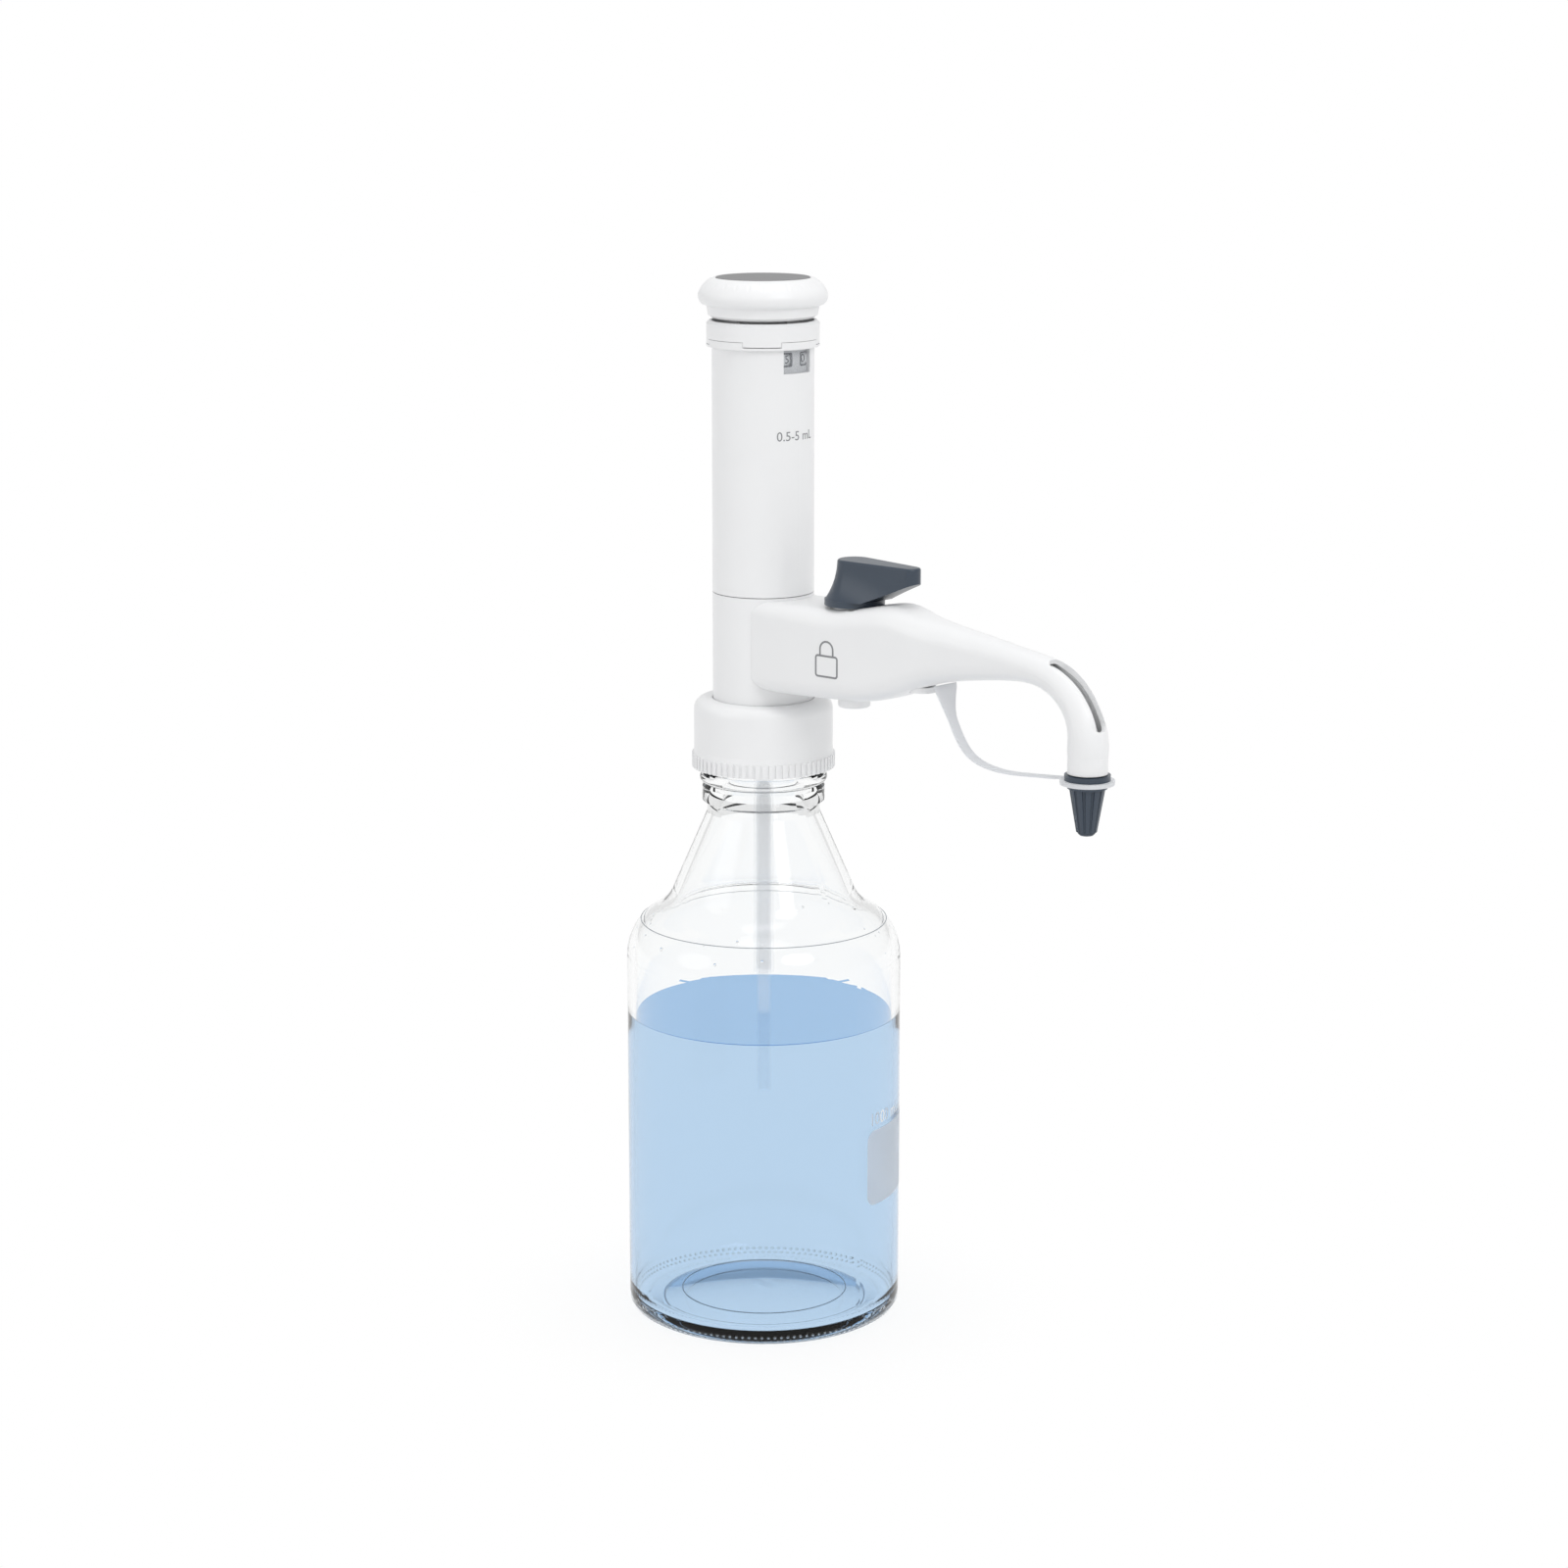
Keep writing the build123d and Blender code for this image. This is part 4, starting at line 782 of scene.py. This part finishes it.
def rounded_outline(width, height, radius, steps=6, run_steps=10):
    """A rectangle with round corners, as (x, y) points; its long runs are cut into run_steps."""
    corners = (
        (width / 2 - radius, -height / 2 + radius, -90),
        (width / 2 - radius, height / 2 - radius, 0),
        (-width / 2 + radius, height / 2 - radius, 90),
        (-width / 2 + radius, -height / 2 + radius, 180),
    )
    line = []
    for x, y, start in corners:
        for k in range(steps + 1):
            turn = math.radians(start + 90 * k / steps)
            line.append(Vector((x + radius * math.cos(turn), y + radius * math.sin(turn))))
    filled = []
    for i, point in enumerate(line):
        ahead = line[(i + 1) % len(line)]
        parts = run_steps if (ahead - point).length > 2 * radius else 1
        filled += [point.lerp(ahead, k / parts) for k in range(parts)]
    return [tuple(p) for p in filled]


# Volume range on the sleeve, under the window
capacity = text_mesh("0.5-5 mL", height=3.4)
slice_up(capacity)
thicken(capacity, PRINT_THICKNESS)
under_window = on_cylinder(SLEEVE_RADIUS, azimuth=-3.0, level=330.0)
finish_print(capacity, "capacity_print", under_window, pale_ink, "carriage")

# Volume of the bottle, in pale enamel on the glass
volume = text_mesh("1000 mL", height=4.8)
slice_up(volume)
thicken(volume, VOLUME_THICKNESS)
on_side = on_cylinder(SIDE_RADIUS, azimuth=19.0, level=81.1)
finish_print(volume, "volume_print", on_side, enamel, "bottle")


# Digits round the two counter wheels
def on_wheel(side, digit_turn):
    """Places a digit on a counter wheel, turned down from the window by an angle."""

    def place(x, y, z):
        turn = digit_turn - y / WHEEL_RADIUS
        reach = WHEEL_RADIUS + z
        middle = side * WHEEL_OFFSET
        return WHEEL_X + reach * math.cos(turn), middle + x, WHEEL_Z - reach * math.sin(turn)

    return place


def make_digits(name, body, side, shown):
    """All ten digits of a wheel, with the shown one in the window."""
    work = bmesh.new()
    for step in range(10):
        digit = (shown - step) % 10
        single = text_mesh(str(digit), DIGIT_HEIGHT, DIGIT_BOLDNESS)
        bmesh.ops.triangulate(single, faces=single.faces[:])
        for level in DIGIT_CUTS:
            cut_across(single, (0, level, 0), (0, 1, 0))
        thicken(single, DIGIT_THICKNESS)
        place = on_wheel(side, math.radians(36 * step))
        for vert in single.verts:
            vert.co = Vector(place(vert.co.x, vert.co.y, vert.co.z))
        mesh = bpy.data.meshes.new("digit")
        single.to_mesh(mesh)
        single.free()
        work.from_mesh(mesh)
        bpy.data.meshes.remove(mesh)
    finish_print(work, name, lambda x, y, z: (x, y, z), ink, body)


make_digits("units_digits", "units", -1, 5)
make_digits("tenths_digits", "tenths", 1, 0)


# Mask behind the window with an opening for each digit
def make_window_mask():
    work = bmesh.new()
    columns = MASK_COLUMNS
    grid = [[work.verts.new((x, z - WHEEL_Z, 0)) for z in MASK_ROWS] for x in columns]
    for i in range(len(columns) - 1):
        for j in range(len(MASK_ROWS) - 1):
            middle = abs(columns[i] + columns[i + 1]) / 2
            if j in OPENING_ROWS and OPENING_INNER < middle < OPENING_OUTER:
                continue
            work.faces.new((grid[i][j], grid[i + 1][j], grid[i + 1][j + 1], grid[i][j + 1]))
    thicken(work, MASK_THICKNESS)
    place = on_cylinder(MASK_RADIUS, 0, WHEEL_Z)
    finish_print(work, "window_mask", place, mask_grey, "carriage")


make_window_mask()


# Tube that fills the slot in the bend of the spout
def make_slot_tube():
    path = []
    for step in range(SLOT_TUBE_STEPS + 1):
        turn = math.radians(SLOT_TUBE_START - SLOT_TUBE_SPAN * step / SLOT_TUBE_STEPS)
        out = Vector((math.cos(turn), 0, math.sin(turn)))
        centre = Vector((BEND_X, 0, BEND_Z)) + out * SLOT_TUBE_BEND
        path.append((centre, Vector((0, 1, 0)), out, (1, 1)))
    section = round_section(SLOT_TUBE_RADIUS, TUBE_SIDES)
    sweep("slot_tube", path, section, milky_tube, "head")


make_slot_tube()


# Writing patch on the glass, under the bottle's volume and in the same enamel
def make_writing_patch():
    work = bmesh.new()
    outline = rounded_outline(width=45.0, height=28.5, radius=4.0, steps=6, run_steps=4)
    work.faces.new([work.verts.new((x, y, 0)) for x, y in outline])
    slice_up(work)
    thicken(work, PRINT_THICKNESS)
    place = on_cylinder(SIDE_RADIUS, azimuth=30.0, level=62.9)
    finish_print(work, "writing_patch", place, enamel, "bottle")


make_writing_patch()


# Dark line round the opening of each digit, on the face of the mask
def make_digit_frames():
    work = bmesh.new()
    outline = rounded_outline(width=3.6, height=4.6, radius=0.4, steps=3, run_steps=6)
    for side in (-1, 1):
        ring = [(x + side * DIGIT_FRAME_OFFSET, y) for x, y in outline]
        stroke_band(work, ring, DIGIT_FRAME_LINE, True)
    thicken(work, PRINT_THICKNESS)
    place = on_cylinder(DIGIT_FRAME_RADIUS, 0, WHEEL_Z)
    finish_print(work, "digit_frames", place, ink, "carriage")


make_digit_frames()


def surface_of(node):
    mesh = frame["nodes"][node].data
    corners = [v.co for v in mesh.vertices]
    return BVHTree.FromPolygons(corners, [p.vertices[:] for p in mesh.polygons])


# Outline of a closed padlock, laid on the arm's side that faces -y
def make_padlock():
    work = bmesh.new()
    stroke_band(work, rounded_outline(width=9.6, height=7.4, radius=0.9), PADLOCK_LINE, True)
    foot, knee = SHACKLE_FEET
    shackle = [(-SHACKLE_RADIUS, foot), (-SHACKLE_RADIUS, knee), (-SHACKLE_RADIUS, SHACKLE_CENTRE)]
    for k in range(1, SHACKLE_STEPS):
        turn = math.pi * k / SHACKLE_STEPS
        x = -SHACKLE_RADIUS * math.cos(turn)
        shackle.append((x, SHACKLE_CENTRE + SHACKLE_RADIUS * math.sin(turn)))
    shackle += [(SHACKLE_RADIUS, SHACKLE_CENTRE), (SHACKLE_RADIUS, knee), (SHACKLE_RADIUS, foot)]
    stroke_band(work, shackle, PADLOCK_LINE, False)
    thicken(work, PRINT_THICKNESS)
    surface = surface_of("arm_housing")

    def place(x, y, z):
        px = PADLOCK_X + x
        pz = PADLOCK_Z + y
        start = Vector((px * MM, -0.06, pz * MM))
        hit = surface.ray_cast(start, Vector((0, 1, 0)))[0]
        return px, hit.y / MM - (z + PRINT_GAP), pz

    finish_print(work, "padlock_print", place, pale_ink, "head")


make_padlock()


# Studio: white ground and sky for the camera and for glass, plain soft light on the object
def background(tree, colour, strength=1.0):
    node = tree.nodes.new("ShaderNodeBackground")
    node.inputs["Color"].default_value = (*colour, 1)
    node.inputs["Strength"].default_value = strength
    return node


def make_world():
    world = bpy.data.worlds.new("studio")
    bpy.context.scene.world = world
    world.use_nodes = True
    tree = world.node_tree
    tree.nodes.clear()
    seen = background(tree, SKY_SEEN)
    light = background(tree, SKY_LIGHT, AMBIENT)
    mirrored = background(tree, SKY_MIRRORED)
    coords = tree.nodes.new("ShaderNodeTexCoord")
    across = tree.nodes.new("ShaderNodeVectorMath")
    across.operation = "DOT_PRODUCT"
    across.inputs[1].default_value = (math.cos(VIEW_TURN), math.sin(VIEW_TURN), 0)
    tree.links.new(coords.outputs["Generated"], across.inputs[0])
    size = math_node(tree, "ABSOLUTE", across.outputs["Value"])
    ramp = map_node(tree, size, SIDE_RANGE, (1.0, SIDE_DARKNESS))
    tree.links.new(ramp.outputs["Result"], mirrored.inputs["Strength"])
    path = tree.nodes.new("ShaderNodeLightPath")
    either = seen_or_refracted(tree, path)
    skies = [sky.outputs["Background"] for sky in (light, mirrored, seen)]
    first = mix_shaders(tree, either, skies[0], skies[1])
    second = mix_shaders(tree, path.outputs["Is Camera Ray"], first, skies[2])
    out = tree.nodes.new("ShaderNodeOutputWorld")
    tree.links.new(second, out.inputs["Surface"])


def make_ground():
    half = GROUND_HALF
    corners = [(-half, -half, 0), (half, -half, 0), (half, half, 0), (-half, half, 0)]
    mesh = bpy.data.meshes.new("floor")
    mesh.from_pydata(corners, [], [(0, 1, 2, 3)])
    material = bpy.data.materials.new("floor")
    material.use_nodes = True
    floor = link_mesh("floor", mesh, material)
    floor.location.z = -GROUND_DROP
    tree = material.node_tree
    tree.nodes.clear()
    matt = tree.nodes.new("ShaderNodeBsdfDiffuse")
    matt.inputs["Color"].default_value = (*GROUND_COLOUR, 1)
    glow = tree.nodes.new("ShaderNodeEmission")
    glow.inputs["Color"].default_value = (*SKY_SEEN, 1)
    glow.inputs["Strength"].default_value = 1.0
    length = tree.nodes.new("ShaderNodeVectorMath")
    length.operation = "LENGTH"
    tree.links.new(object_coordinates(tree), length.inputs[0])
    ramp = map_node(tree, length.outputs["Value"], SHADOW_RANGE, (SHADOW_SHARE, 1.0))
    ramp.interpolation_type = "SMOOTHSTEP"
    path = tree.nodes.new("ShaderNodeLightPath")
    either = seen_or_refracted(tree, path)
    camera_ray = path.outputs["Is Camera Ray"]
    share = math_node(tree, "MULTIPLY", camera_ray, ramp.outputs["Result"])
    any_seen = math_node(tree, "MAXIMUM", either, share)
    mix = mix_shaders(tree, any_seen, matt.outputs["BSDF"], glow.outputs["Emission"])
    out = tree.nodes.new("ShaderNodeOutputMaterial")
    tree.links.new(mix, out.inputs["Surface"])


def make_lamp(name, power, size, place, target):
    lamp = bpy.data.lights.new(name, "AREA")
    lamp.energy = power
    lamp.shape = "DISK"
    lamp.size = size
    holder = bpy.data.objects.new(name, lamp)
    bpy.context.scene.collection.objects.link(holder)
    holder.location = place
    aim = Vector(target) - Vector(place)
    holder.rotation_euler = aim.to_track_quat("-Z", "Y").to_euler()


def from_view(across, toward, height):
    """A place as seen from the camera: to the right, towards the camera and up, in metres."""
    right = Vector((math.cos(VIEW_TURN), math.sin(VIEW_TURN), 0))
    near = Vector((math.sin(VIEW_TURN), -math.cos(VIEW_TURN), 0))
    return right * across + near * toward + UP * height


make_world()
make_ground()
for name, power, size, place, target in LAMPS:
    make_lamp(name, power, size, from_view(*place), target)

scene = bpy.context.scene
scene.view_settings.view_transform = "Standard"
